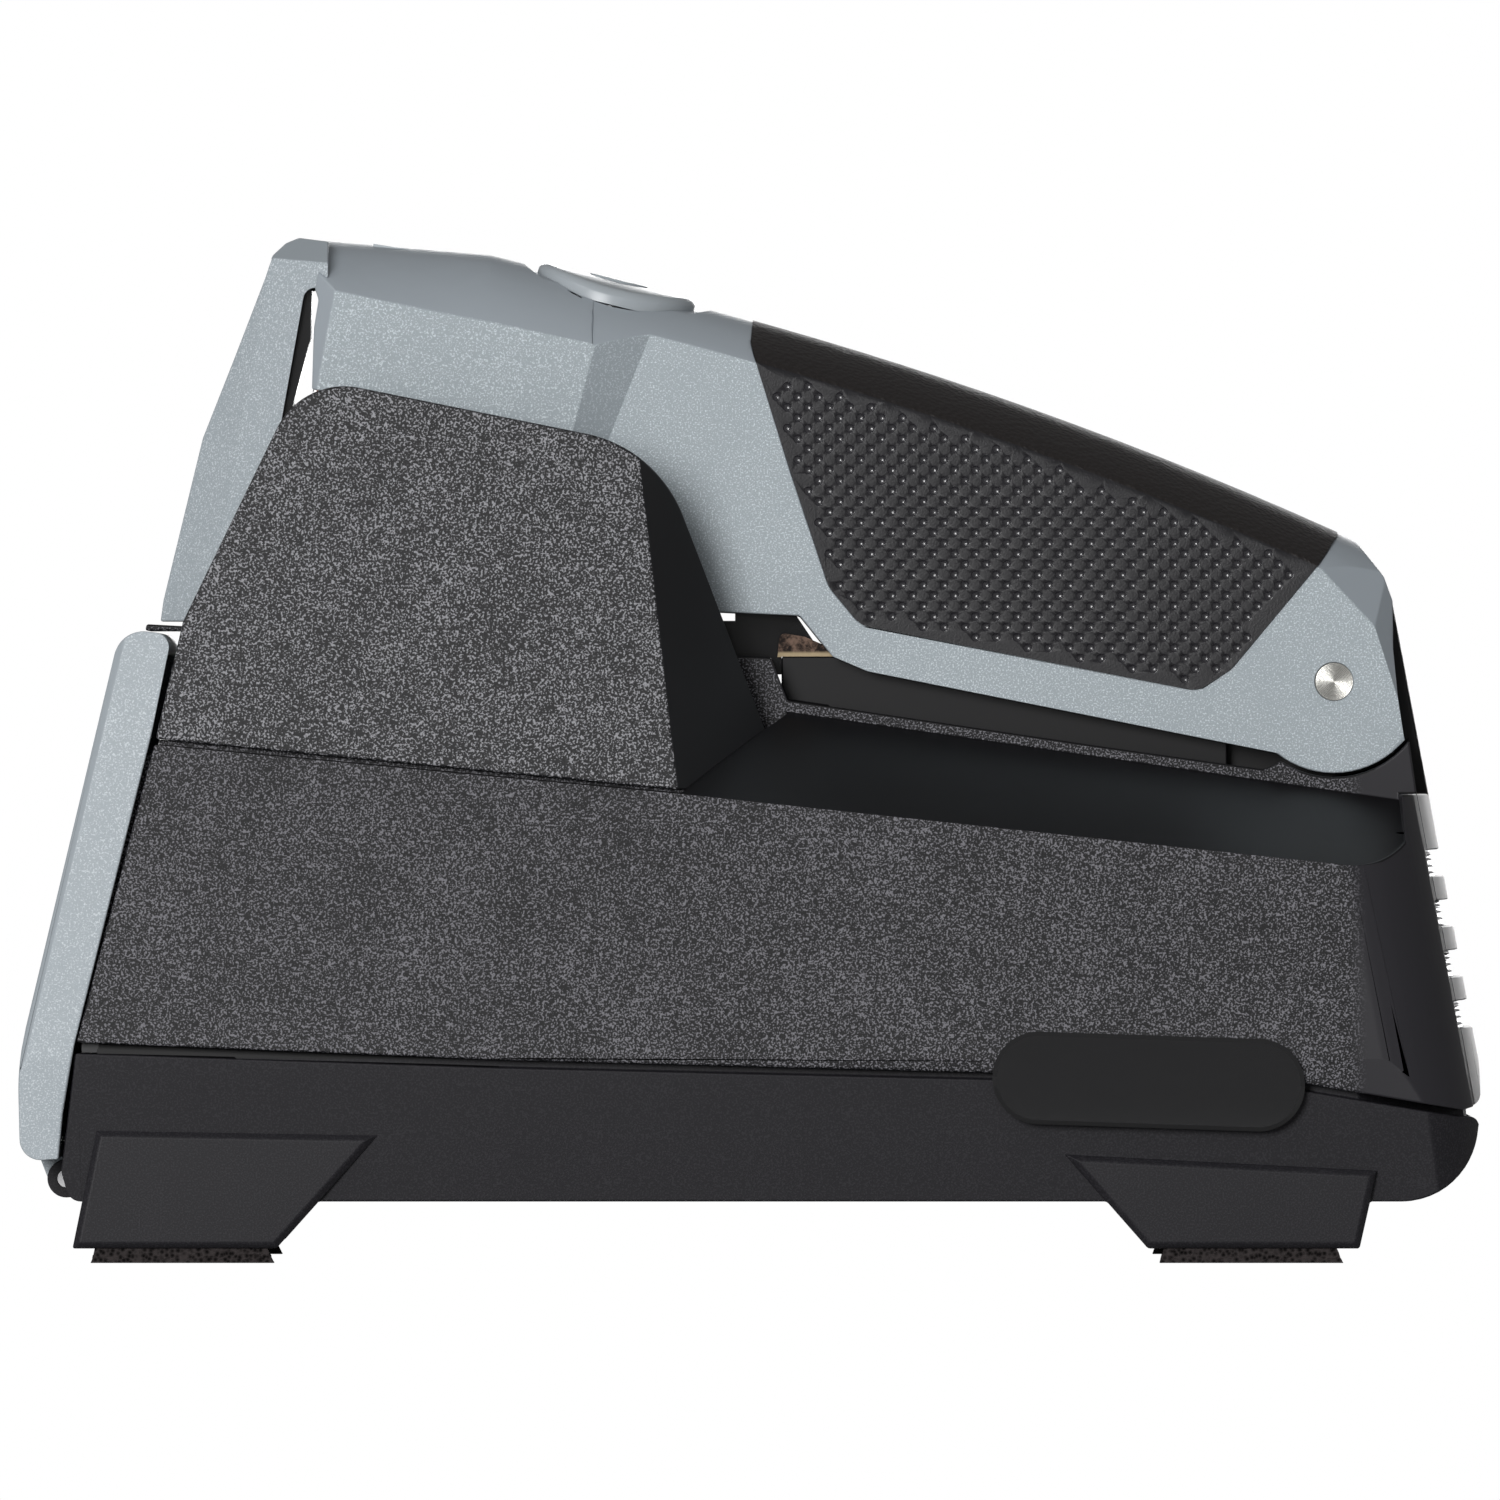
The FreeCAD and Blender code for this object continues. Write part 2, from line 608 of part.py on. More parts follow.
# Motor, shaft, fan and bearings on the drive roller's axis
motor_radius = 15.5 * height_scale
motor_wall = 1.4
motor_start = 30.0
motor_end = 74.0 * height_scale * height_scale / length_scale
bearing_width = 4.0
armature_radius = 10.5
shaft_end = motor_end + 18.0
can = ring(drive_centre, spin_axis, motor_radius, axle_radius + 1.2, motor_start, motor_end)
can_room = rod(drive_centre, spin_axis, motor_radius - motor_wall, motor_start + motor_wall, motor_end - motor_wall)
save("motor_can", can.cut(can_room))
bearings = [ring(drive_centre, spin_axis, 7.0, axle_radius + spin_gap, start, start + bearing_width)
            for start in (motor_start - bearing_width, motor_end)]
save("shaft_bearings", Part.makeCompound(bearings))
save("motor_shaft", rod(drive_centre, spin_axis, axle_radius, -roller_width / 2 - 3.0, shaft_end))
save("motor_armature", ring(drive_centre, spin_axis, armature_radius, axle_radius, motor_start + 8.0, motor_end - 8.0))
fan_hub_radius = 5.5
blade_tip = 12.8 * height_scale
blade_count = 5
fan = ring(drive_centre, spin_axis, fan_hub_radius, axle_radius, motor_end + 8.0, motor_end + 14.0)
for i in range(blade_count):
    blade = box(-0.7, 0.7, -2.6, 2.6, fan_hub_radius - 1.0, blade_tip)
    blade.rotate(FreeCAD.Vector(0, 0, 0), z_axis, 35)
    blade.rotate(FreeCAD.Vector(0, 0, 0), FreeCAD.Vector(1, 0, 0), 360.0 * i / blade_count)
    fan = fan.fuse(leaned(blade, drive_centre + spin_axis * (motor_end + 11.0)))
save("cooling_fan", fan)
cradle_block = side_slab([(-62.0, 13.0), (-62.0, 31.0), (-18.0, 22.0), (-18.0, 13.0)], py(12.0))
save("motor_cradle", cradle_block.cut(rod(drive_centre, spin_axis, motor_radius, 0, 120)))

# Circuit board on the tray floor, under the recess
board_low = 19.0
board_thickness = 1.6
board = box(px(28.0), px(72.0), -py(28.0), py(28.0), pz(board_low), pz(board_low) + board_thickness)
board_pieces = [box(px(34.0), px(34.0) + 16.0, -py(12.0), py(12.0), pz(board_low) + board_thickness,
                    pz(board_low) + board_thickness + 9.0)]
for x in (33.0, 67.0):
    for side in (-1, 1):
        board_pieces.append(box(px(x) - 2.5, px(x) + 2.5, side * py(22.0) - 2.5, side * py(22.0) + 2.5,
                                pz(13.0), pz(board_low)))
board_pieces.append(rod(spot(60.0, 0, board_low), z_axis, 5.0, board_thickness, 12.0))
save("control_board", board.fuse(board_pieces))

# Roof line of the arm, one long arc in the middle plane, crowned across its width
roof_front = spot(-26.3, 0, 164.1)
roof_middle = spot(42.7, 0, 144.0)
roof_rear = spot(98.3, 0, 121.8)
roof_circle = Part.Circle(roof_front, roof_middle, roof_rear)
roof_centre = roof_circle.Center
roof_radius = roof_circle.Radius


def crown_drop(y, radius):
    return radius - math.sqrt(radius * radius - y * y)


def crown_section(top, up, radius, reach, depth):
    """A section with a round top through top, flat sides at reach and a flat foot at depth."""
    edge = crown_drop(reach, radius)
    points = [top + up * h + y_axis * y for h, y in ((-edge, -reach), (0, 0), (-edge, reach), (-depth, reach),
                                                    (-depth, -reach))]
    return Part.Wire([Part.Arc(points[0], points[1], points[2]).toShape(),
                      Part.makePolygon([points[2], points[3], points[4], points[0]])])


def crowned(inset=0.0):
    """Everything under the arm's crowned roof, turned about the centre of the roof line."""
    start = roof_front + FreeCAD.Vector(px(-12.0), 0, 0) - roof_centre
    start.normalize()
    finish = roof_rear + FreeCAD.Vector(px(60.0), 0, 0) - roof_centre
    radius = crown_radius - inset
    section = crown_section(roof_centre + start * (roof_radius - inset), start, radius, radius - 3.0, 75.0)
    return Part.Face(section).revolve(roof_centre, y_axis, math.degrees(start.getAngle(finish)))


def grip_seat():
    """The arm under the grip, with its crown in two straight lengths."""
    seat = side_slab(arm_side, arm_half - grip_skin)
    stops = []
    for x in (0.0, 49.0, 98.0):
        away = FreeCAD.Vector(px(x), 0, roof_front.z) - roof_centre
        away.normalize()
        stops.append(roof_centre + away * (roof_radius - grip_skin))
    radius = crown_radius - grip_skin
    for a, b in zip(stops, stops[1:]):
        along = b - a
        along.normalize()
        section = crown_section(a - along * 60, along.cross(y_axis), radius, radius - 3.0, 90.0)
        seat = seat.common(Part.Face(section).extrude(along * 240))
    return seat


arm_side = [(-30.0, 175.0), (-24.0, 134.0), (-6.8, 108.5), (8.3, 107.8), (13.8, 101.0), (19.7, 98.5, 4.0),
            (58.3, 90.8), (88.3, 84.8), (97.75, 81.45), (109.6, 87.0), (108.5, 93.8), (107.7, 102.2),
            (107.7, 110.3), (106.2, 114.4), (103.0, 118.6), (90.0, 135.0), (40.0, 170.0)]
rear_side = [(109.6, 60.0), (109.6, 87.0), (108.5, 93.8), (107.7, 102.2), (107.7, 130.0), (140.0, 130.0),
             (140.0, 60.0)]


def arm_block(inset=0.0):
    """The arm behind the head: flat sides under the crowned roof, with the round hinge end."""
    half = arm_half - inset
    disc = rod(pin_centre, y_axis, arm_end_radius, -half, half).cut(side_slab(rear_side, 60.0))
    return side_slab(arm_side, half).fuse(disc).common(crowned(inset))


rear_facet_low = beyond_plane(spot(104.6, arm_half, 106.0), spot(108.8, arm_half, 93.0), spot(107.9, 13.0, 109.0),
                              spot(140.0, 60.0, 110.0))
rear_facet_high = beyond_plane(spot(96.0, arm_half, 115.2), spot(104.6, arm_half, 106.0),
                               spot(105.0, 12.5, 116.0), spot(140.0, 60.0, 140.0))
arm_outer = arm_block().cut([rear_facet_low, rear_facet_high, mirrored(rear_facet_low), mirrored(rear_facet_high)])


def roof_section(x, z_top, z_edge):
    """A section of the head: a crowned roof through its middle and edge heights."""
    drop = pz(z_top) - pz(z_edge)
    radius = (head_half * head_half + drop * drop) / (2 * drop)
    return crown_section(spot(x, 0, z_top), z_axis, radius, head_half + 2.0, pz(z_top) - pz(120.0))


head_lean = (head_half - head_half_low) / pz(28.0)
head_low = pz(134.0)
head_top = pz(176.0)
head_high_half = head_half_low + (head_top - head_low) * head_lean
head_sides = front_prism([(-head_half_low, head_low - 20), (head_half_low, head_low - 20), (head_half_low, head_low),
                          (head_high_half, head_top), (-head_high_half, head_top), (-head_half_low, head_low)],
                         px(-80.0), px(0.0))
head_roof = Part.makeLoft([roof_section(-74.0, 171.0, 163.3), roof_section(-43.5, 168.4, 156.4),
                           roof_section(-26.3, 164.1, 152.6)], True, True)
head_side = [(-71.5, 168.6), (-70.4, 175.0), (-26.3, 175.0), (-26.3, 136.4), (-29.0, 136.9), (-73.3, 145.7),
             (-73.0, 155.8), (-72.2, 160.7), (-72.8, 162.5), (-71.8, 167.5)]
rear_of_head = [(-26.3, 175.0), (-12.0, 175.0), (-12.0, 133.6), (-26.3, 136.4)]
head_front_part = head_roof.common(side_slab(head_side, 60.0))
head_rear_part = crowned().common(side_slab(rear_of_head, 60.0))
notch = beyond_plane(spot(-26.3, head_half - 0.5, 152.5), spot(-29.0, head_half_low, 138.7),
                     spot(-16.5, arm_half, 155.3), spot(20.0, 60.0, 150.0))
front_facet = beyond_plane(spot(-69.4, head_half, 162.3), spot(-73.2, head_half_low, 146.0),
                           spot(-72.7, head_half - 3.2, 162.5), spot(-90.0, 60.0, 150.0))
head_outer = head_front_part.fuse(head_rear_part).common(head_sides)
head_outer = head_outer.cut([notch, mirrored(notch), front_facet, mirrored(front_facet)])
arm = arm_outer.fuse(head_outer)

# Hollows in the arm and the head, with a leaning web left between them
room_half = arm_half - wall - grip_skin
arm_inside = [(-21.0, 153.5), (-21.4, 134.0), (-4.9, 107.0), (8.3, 104.0), (13.8, 95.0), (82.0, 75.0),
              (82.0, 120.7), (64.0, 127.8), (21.5, 142.9), (-16.0, 153.5)]
head_inside = [(-76.0, 125.0), (-76.0, 163.0), (-70.0, 163.0), (-33.0, 157.5), (-24.0, 125.0)]
head_hollow = front_prism([(-19.4, 110.0), (19.4, 110.0), (19.4, pz(151.0)), (15.5, pz(165.0)), (-15.5, pz(165.0)),
                           (-19.4, pz(151.0))], px(-90.0), px(0.0))
arm = arm.cut([side_slab(arm_inside, room_half), side_slab(head_inside, 60.0).common(head_hollow)])
knuckle_room = rod(pin_centre, y_axis, knuckle_radius + knuckle_gap, -knuckle_half - knuckle_gap,
                   knuckle_half + knuckle_gap)
rear_room = side_slab([(81.0, 60.0), (81.0, 100.0), (97.0, 112.2), (125.0, 112.2), (125.0, 60.0)],
                      knuckle_half + knuckle_gap)
arm = arm.cut([knuckle_room, rear_room, rod(pin_centre, y_axis, pin_radius + pin_gap, -60, 60)])

# Crowned button in its scooped seat, and the indicator in front of it
roof_slope = math.radians(13.9)
roof_normal = FreeCAD.Vector(math.sin(roof_slope), 0, math.cos(roof_slope))
roof_along = FreeCAD.Vector(math.cos(roof_slope), 0, -math.sin(roof_slope))
button_centre = spot(-22.3, 0, 163.0)


def crown_bar(rise):
    """A thick bar along the roof slope whose round top stands at rise above the button's centre."""
    return rod(button_centre + roof_normal * (rise - button_crown), roof_along, button_crown, -30, 30)


scoop = rod(button_centre, roof_normal, button_radius + 2.4, -6, 12).cut(crown_bar(-0.7))
button_hole = rod(button_centre, roof_normal, button_radius + button_gap, -14, 20)
arm = arm.cut([scoop, button_hole])
lens = side_prism([(-63.4, 168.2), (-63.2, 170.3), (-56.4, 169.2), (-56.6, 167.1)], -4.0, 4.0)
arm = arm.cut(lens)
grip_outline = [(0.8, 162.0), (0.2, 153.6), (1.0, 150.2), (6.9, 131.5), (13.2, 112.6, 6.0), (18.5, 106.2, 5.0),
                (75.0, 95.2, 4.0), (80.6, 98.9, 4.0), (95.2, 116.4), (98.6, 121.4), (98.0, 128.0), (60.0, 155.0)]
grip = side_slab(grip_outline, 60.0).common(arm_block(-grip_proud)).cut(grip_seat())
arm = arm.cut(grip)
save("arm_shell", arm)
save("grip_cover", grip)
save("indicator_lens", lens)

button_foot = -3.2
button = rod(button_centre, roof_normal, button_radius, button_foot, 6).common(crown_bar(1.1))
bevel_cone = Part.makeCone(button_radius + 2.6, button_radius - 6.4, 9.0, button_centre + roof_normal * -2.6,
                           roof_normal)
button = button.common(bevel_cone.fuse(rod(button_centre, roof_normal, button_radius + 1, -6, -2.6)))
stem_radius = 3.0
stem = rod(button_centre, roof_normal, stem_radius, -9.0, button_foot)
save("power_button", button.fuse(stem))
save("button_spring", ring(button_centre, roof_normal, stem_radius + 1.6, stem_radius + 1.0, -8.6, button_foot))

# Nose: the front cover of the head, made of flat facets from its top down between the slots
nose_break = 137.6
nose_front = [(-91.8, nose_break), (-89.0, 144.6), (-86.6, 150.6), (-81.5, 163.7), (-80.0, 168.2), (-77.8, 170.3),
              (-75.6, 171.2), (-70.4, 170.5)]
nose_low = [(-98.9, 106.9), (-98.4, 110.5), (-91.8, nose_break)]
prow = 6.0
prow_high = spot(-91.8, prow, nose_break)
crease_high = spot(-85.5, 12.5, nose_break)


def nose_facets(inset):
    """The facets of one side of the nose, above and below the break, as blocks to cut away."""
    away = spot(-110.0, 80.0, 145.0)
    upper = [beyond_plane(prow_high, crease_high, spot(-80.2, 13.5, 168.0), away, inset),
             beyond_plane(crease_high, spot(-80.2, 13.5, 168.0), spot(-77.5, 18.4, nose_break), away, inset)]
    lower = [beyond_plane(prow_high, crease_high, spot(-89.8, 12.6, 115.8), away, inset),
             beyond_plane(crease_high, spot(-89.8, 12.6, 115.8), spot(-77.5, 18.4, nose_break), away, inset)]
    return upper, lower


def nose_block(inset):
    upper = side_slab(nose_front + [(-60.0, 170.0), (-60.0, nose_break)], 26.0)
    lower = side_slab(nose_low + [(-60.0, nose_break), (-60.0, 106.9)], 26.0)
    upper_cuts, lower_cuts = nose_facets(inset)
    upper = upper.cut(upper_cuts + [mirrored(c) for c in upper_cuts])
    lower = lower.cut(lower_cuts + [mirrored(c) for c in lower_cuts])
    return upper.fuse(lower)


nose_cap = beyond_plane(spot(-79.6, 13.4, 168.0), spot(-71.0, 19.0, 167.6), spot(-76.0, 9.0, 171.2),
                        spot(-75.0, 40.0, 190.0))
nose_hollow = side_slab([(-100.0, 100.0), (-94.6, 108.0), (-88.6, 138.6), (-78.4, 164.0), (-60.0, 164.0),
                         (-60.0, 100.0)], 26.0)
slot_mouth = side_slab([(-74.5, 162.7, 2.0), (-78.5, 140.1), (-84.4, 106.0), (-84.4, 90.0), (-50.0, 90.0),
                        (-50.0, 162.7)], 60.0)
behind_nose = side_slab([(-70.6, 150.0), (-70.6, 190.0), (-40.0, 190.0), (-40.0, 150.0)], 60.0)
nose = nose_block(0.0).cut([nose_cap, mirrored(nose_cap)])
nose = nose.cut([nose_block(wall).common(nose_hollow), slot_mouth, behind_nose, head_outer])
save("guide_nose", nose)
liner_half = 9.6
liner_fin_half = 15.0
liner = side_slab([(-81.0, 162.4), (-73.4, 162.4), (-73.6, 154.4), (-76.9, 141.8), (-80.4, 133.4), (-86.6, 133.4)],
                  liner_half)
liner_fin = side_slab([(-74.4, 162.4), (-73.4, 162.4), (-73.6, 154.4), (-76.9, 141.8), (-78.0, 139.0),
                       (-78.55, 139.0)], liner_fin_half)
liner = liner.cut(nose).fuse(liner_fin.cut(nose))
save("nose_liner", liner)

# Arm hinge pin, flush with the arm's sides
pin_end = arm_half + 0.2
pin = rod(pin_centre, y_axis, pin_radius, -pin_end, pin_end)
save("arm_pin", pin)

# Front door: a shell that leans back over the belt chamber, hinged at its foot
door_rear = [(-115.0, 17.3), (-114.3, 24.8), (-112.4, 36.2), (-99.9, 87.0)]
door_front = [(-96.3, 104.6, 2.5), (-104.9, 105.6, 5.0), (-121.8, 33.5, 45.0), (-121.4, 16.9, 3.5)]
door = side_slab(door_rear + door_front, wide).common(body_draft())
door_rim = 1.2
rim_cut = beyond_plane(spot(-106.2, body_half(pz(100.0)) - door_rim, 100.0),
                       spot(-120.3, body_half(pz(40.0)) - door_rim, 40.0),
                       spot(-106.2 + door_rim, body_half(pz(100.0)), 100.0), spot(-150.0, wide * 2, 70.0))
door = door.cut([rim_cut, mirrored(rim_cut)])
door_inner = [(-90.0, 101.0), (-101.6, 101.6), (-103.6, 95.5), (-109.6, 69.8), (-117.6, 37.2), (-118.6, 26.2),
              (-117.8, 19.9), (-100.0, 19.9)]
door = door.cut(side_slab(door_inner, wide).common(body_draft(wall)))
door_web = side_slab([(-114.2, 13.0), (-117.2, 13.2), (-119.2, 18.4), (-115.6, 19.0), (-111.5, 14.4)], barrel_half)
door_barrel = rod(door_centre, y_axis, door_barrel_radius, -barrel_half, barrel_half).fuse(door_web)
door = door.fuse(door_barrel)
door = door.cut(rod(door_centre, y_axis, door_pin_radius + pin_gap, -lug_outer - 1, lug_outer + 1))
save("front_door", door)
save("door_pin", rod(door_centre, y_axis, door_pin_radius, -lug_outer, lug_outer))

# Nameplate across the seam on the near side, left bare, with a bevel round its rim
plate_half_length = 26.0
plate_half_height = 7.7
plate_thickness = 2.4
plate_round = plate_half_height - 0.01
plate_corners = [(x * plate_half_length, z * plate_half_height, plate_round)
                 for x, z in ((-1, -1), (1, -1), (1, 1), (-1, 1))]
plate_wire = rounded_wire(plate_corners, lambda v: FreeCAD.Vector(v.x, -plate_thickness / 2, v.y))
plate = Part.Face(plate_wire).extrude(y_axis * plate_thickness)
plate = plate.makeChamfer(0.7, [e for e in plate.Edges if max(v.Y for v in e.Vertexes) < 0])
plate.rotate(FreeCAD.Vector(0, 0, 0), y_axis, 1.9)
plate.translate(spot(66.3, -py(58.0) - 0.4, 30.2))
save("nameplate", plate.cut([body, tray]))

# Spare belt folded flat on its shelf behind the slots
spare = side_prism([(4.6, 100.9), (14.8, 100.9), (13.6, 102.4, 1.0), (9.2, 104.3), (5.0, 105.0, 1.0)],
                   -(plateau_half - 0.2), -8.2)
save("spare_belt", spare.cut(body))
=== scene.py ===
# %% [markdown]
# An electric knife sharpener, seen square from its right side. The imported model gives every
# moulding its shape and its place. This script gives each one its finish, rounds the edges that
# a mould leaves round, cuts the dimples of the grip, and sets the light and the camera of the
# photograph.

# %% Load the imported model
import json
import math

import bmesh
import bpy
from mathutils import Matrix, Vector, noise
from mathutils.bvhtree import BVHTree


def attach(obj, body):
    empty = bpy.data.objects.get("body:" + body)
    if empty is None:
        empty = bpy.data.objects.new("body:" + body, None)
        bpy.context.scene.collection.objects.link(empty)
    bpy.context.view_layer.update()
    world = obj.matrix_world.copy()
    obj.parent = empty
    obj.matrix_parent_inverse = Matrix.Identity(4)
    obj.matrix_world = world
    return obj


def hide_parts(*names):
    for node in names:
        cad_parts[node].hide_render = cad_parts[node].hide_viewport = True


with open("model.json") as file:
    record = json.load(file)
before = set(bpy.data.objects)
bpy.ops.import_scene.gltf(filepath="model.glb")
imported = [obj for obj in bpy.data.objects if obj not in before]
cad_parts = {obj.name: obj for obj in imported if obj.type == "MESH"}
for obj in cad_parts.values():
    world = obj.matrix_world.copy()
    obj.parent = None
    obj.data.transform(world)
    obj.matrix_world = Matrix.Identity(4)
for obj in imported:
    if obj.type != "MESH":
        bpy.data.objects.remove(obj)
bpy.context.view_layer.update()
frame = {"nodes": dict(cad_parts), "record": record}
MM = 0.001
slot_of = {entry["node"]: entry["material_slot"] for entry in frame["record"]["subparts"]}

# %% [markdown]
# The finishes are worked out from a few sums on the object's own coordinates, such as a noise
# that is squeezed and mixed. Nodes could be added and linked one by one, but a dozen of them
# hide a short sum. A small class wraps a socket, so that the sums read as sums.

# %% A short way to write shader sums
class Sum:
    """An output socket that adds Math nodes when it is used in a sum."""

    def __init__(self, tree, socket):
        self.tree = tree
        self.socket = socket

    def math(self, operation, *others):
        node = self.tree.nodes.new("ShaderNodeMath")
        node.operation = operation
        join(self.tree, node.inputs[0], self)
        for index, other in enumerate(others):
            join(self.tree, node.inputs[index + 1], other)
        return Sum(self.tree, node.outputs[0])

    def __add__(self, other):
        return self.math("ADD", other)

    def __radd__(self, other):
        return self.math("ADD", other)

    def __sub__(self, other):
        return self.math("SUBTRACT", other)

    def __rsub__(self, other):
        return (self * -1.0) + other

    def __mul__(self, other):
        return self.math("MULTIPLY", other)

    def __rmul__(self, other):
        return self.math("MULTIPLY", other)

    def step(self, low, high):
        """0 below low, 1 above high, and smooth between them."""
        node = self.tree.nodes.new("ShaderNodeMapRange")
        node.interpolation_type = "SMOOTHSTEP"
        join(self.tree, node.inputs["Value"], self)
        node.inputs["From Min"].default_value = low
        node.inputs["From Max"].default_value = high
        return Sum(self.tree, node.outputs["Result"])


def join(tree, socket, value):
    """Link a Sum to a socket, or set a constant on it."""
    if isinstance(value, Sum):
        tree.links.new(value.socket, socket)
    else:
        socket.default_value = value


class Finish:
    """A material with one Principled shader, and calls that add nodes to it."""

    def __init__(self, name, color, roughness, metallic=0.0, **constants):
        self.name = name
        self.material = bpy.data.materials.new(name)
        self.material.use_nodes = True
        self.tree = self.material.node_tree
        self.shader = self.tree.nodes["Principled BSDF"]
        self.set("Base Color", (*color, 1.0))
        self.set("Roughness", roughness)
        self.set("Metallic", metallic)
        for key, value in constants.items():
            self.set(key.replace("_", " "), value)

    def node(self, kind, settings=None, output=0, **inputs):
        """Any other node: its type, then its settings, then its inputs."""
        made = self.tree.nodes.new(kind)
        for key, value in (settings or {}).items():
            setattr(made, key, value)
        for key, value in inputs.items():
            join(self.tree, made.inputs[key.replace("_", " ")], value)
        return Sum(self.tree, made.outputs[output])

    def set(self, name, value):
        join(self.tree, self.shader.inputs[name], value)

    def place(self):
        """The object's own coordinates, in metres."""
        return self.node("ShaderNodeTexCoord", output="Object")

    def axes(self):
        split = self.tree.nodes.new("ShaderNodeSeparateXYZ")
        join(self.tree, split.inputs[0], self.place())
        return [Sum(self.tree, s) for s in split.outputs]

    def mark(self, name):
        """A number stored on the mesh under this name."""
        return self.node("ShaderNodeAttribute", {"attribute_name": name}, output="Fac")

    def noise(self, size, detail=2.0, roughness=0.5):
        """Noise whose blots are about size metres across."""
        return self.node("ShaderNodeTexNoise", output="Fac", Vector=self.place(), Scale=1.0 / size,
                         Detail=detail, Roughness=roughness)

    def blend(self, first, second, factor):
        mix = self.tree.nodes.new("ShaderNodeMix")
        mix.data_type = "RGBA"
        join(self.tree, mix.inputs["Factor"], factor)
        for socket, value in ((mix.inputs[6], first), (mix.inputs[7], second)):
            join(self.tree, socket, value if isinstance(value, Sum) else (*value, 1.0))
        return Sum(self.tree, mix.outputs[2])

    def bump(self, height, depth):
        """Raise the surface by height times depth in metres."""
        node = self.tree.nodes.new("ShaderNodeBump")
        node.inputs["Strength"].default_value = 1.0
        node.inputs["Distance"].default_value = depth
        join(self.tree, node.inputs["Height"], height)
        self.set("Normal", Sum(self.tree, node.outputs[0]))


# %% [markdown]
# A colour is easier to judge as it is seen on a screen, from 0 to 255, than as the linear light
# that a shader works in. One function turns the first into the second.

# %% Colours as they are seen
def srgb(*levels):
    """Linear colour of 8-bit display levels."""
    values = [v / 255.0 for v in levels]
    return tuple(v / 12.92 if v <= 0.04045 else ((v + 0.055) / 1.055) ** 2.4 for v in values)


print("level 128 is", [round(v, 3) for v in srgb(128)])


# %% [markdown]
# The housing parts are moulded in steel tools. Their outer faces carry a spark-eroded grain that
# breaks the light into small specks; the bump gives the grain, and the specks are painted glints
# in its colour. Their upper faces and bevels are left smooth and look darker. Two materials on one
# piece would need a line between them. A mark on each face says how much grain it has instead, so
# that one finish serves both, and a mark below 0 gives painted shade to a face that lies deep inside.

# %% Moulded finish
def moulded(name, smooth, low, high, roughness=0.5, grain=0.00045, depth=0.00006, sheen=0.5, even=0.45,
            cut=0.56, spread=0.07, ends=None):
    """Smooth faces take one colour, grained faces a speckle of painted glints, and faces marked below 0
    take painted shade.
    """
    finish = Finish(name, high, roughness, Specular_IOR_Level=sheen)
    fine = finish.noise(grain, 1.0, 0.5)
    broad = finish.noise(0.012, 2.0, 0.5)
    mark = finish.mark("grain")
    grained = mark.math("MAXIMUM", 0.0)
    if ends is not None:
        grained = grained * finish.axes()[0].step(ends[1], ends[0])
    # The specks are painted glints: the bright speckle colour stands in for light caught by the grain.
    glint_specks = (fine + (broad - 0.5) * 0.10).step(cut - spread, cut + spread)
    speckled = finish.blend(low, high, glint_specks)
    # deep is painted shade, a fifth of the smooth colour, for faces marked below 0.
    deep = tuple(v * 0.2 for v in smooth)
    plain = finish.blend(smooth, deep, (mark * -1.0).math("MAXIMUM", 0.0))
    finish.set("Base Color", finish.blend(plain, speckled, grained))
    finish.set("Roughness", grained * (roughness - even) + even)
    finish.bump(fine * grained, depth)
    return finish


# %% [markdown]
# Each moulding has its own smooth colour, the two colours of its speckle, the size of its grain
# and the depth of it. The housing's grain fades out where its sides turn into its rear.

# %% Finishes of the mouldings
fade_start = 99.0 * MM
fade_end = 103.0 * MM
# The high colour of each speckle below is a painted glint of the grain.
body = moulded("body_black", smooth=srgb(46, 45, 49), low=srgb(16, 16, 19), high=srgb(124, 123, 129),
               grain=0.00032, depth=0.00006, sheen=0.28, even=0.42, cut=0.57, spread=0.08,
               ends=(fade_start, fade_end))
cheek = moulded("cheek_black", smooth=srgb(30, 30, 32), low=srgb(18, 18, 21), high=srgb(156, 156, 161),
                grain=0.00034, depth=0.00008, sheen=0.35, even=0.42, cut=0.58, spread=0.08)
tray = moulded("tray_black", smooth=srgb(38, 37, 41), low=srgb(34, 33, 37), high=srgb(46, 45, 49),
               grain=0.0003, depth=0.00002, sheen=0.25)
satin = {"grain": 0.00028, "depth": 0.00004, "cut": 0.60, "spread": 0.10}
shell = moulded("shell_grey", smooth=srgb(163, 171, 178), low=srgb(168, 178, 184),
                high=srgb(218, 227, 232), **satin)
nose = moulded("nose_grey", smooth=srgb(160, 168, 174), low=srgb(168, 177, 183),
               high=srgb(212, 219, 224), **satin)
door = moulded("door_grey", smooth=srgb(168, 176, 182), low=srgb(172, 181, 187),
               high=srgb(212, 219, 224), **satin)
print("moulded", [f.name for f in (body, cheek, tray, shell, nose, door)])

# %% [markdown]
# The smaller pieces are polished plastic, turned metal or a plain moulding. One colour and one
# roughness describe each of them, because no pattern shows on them at this distance.

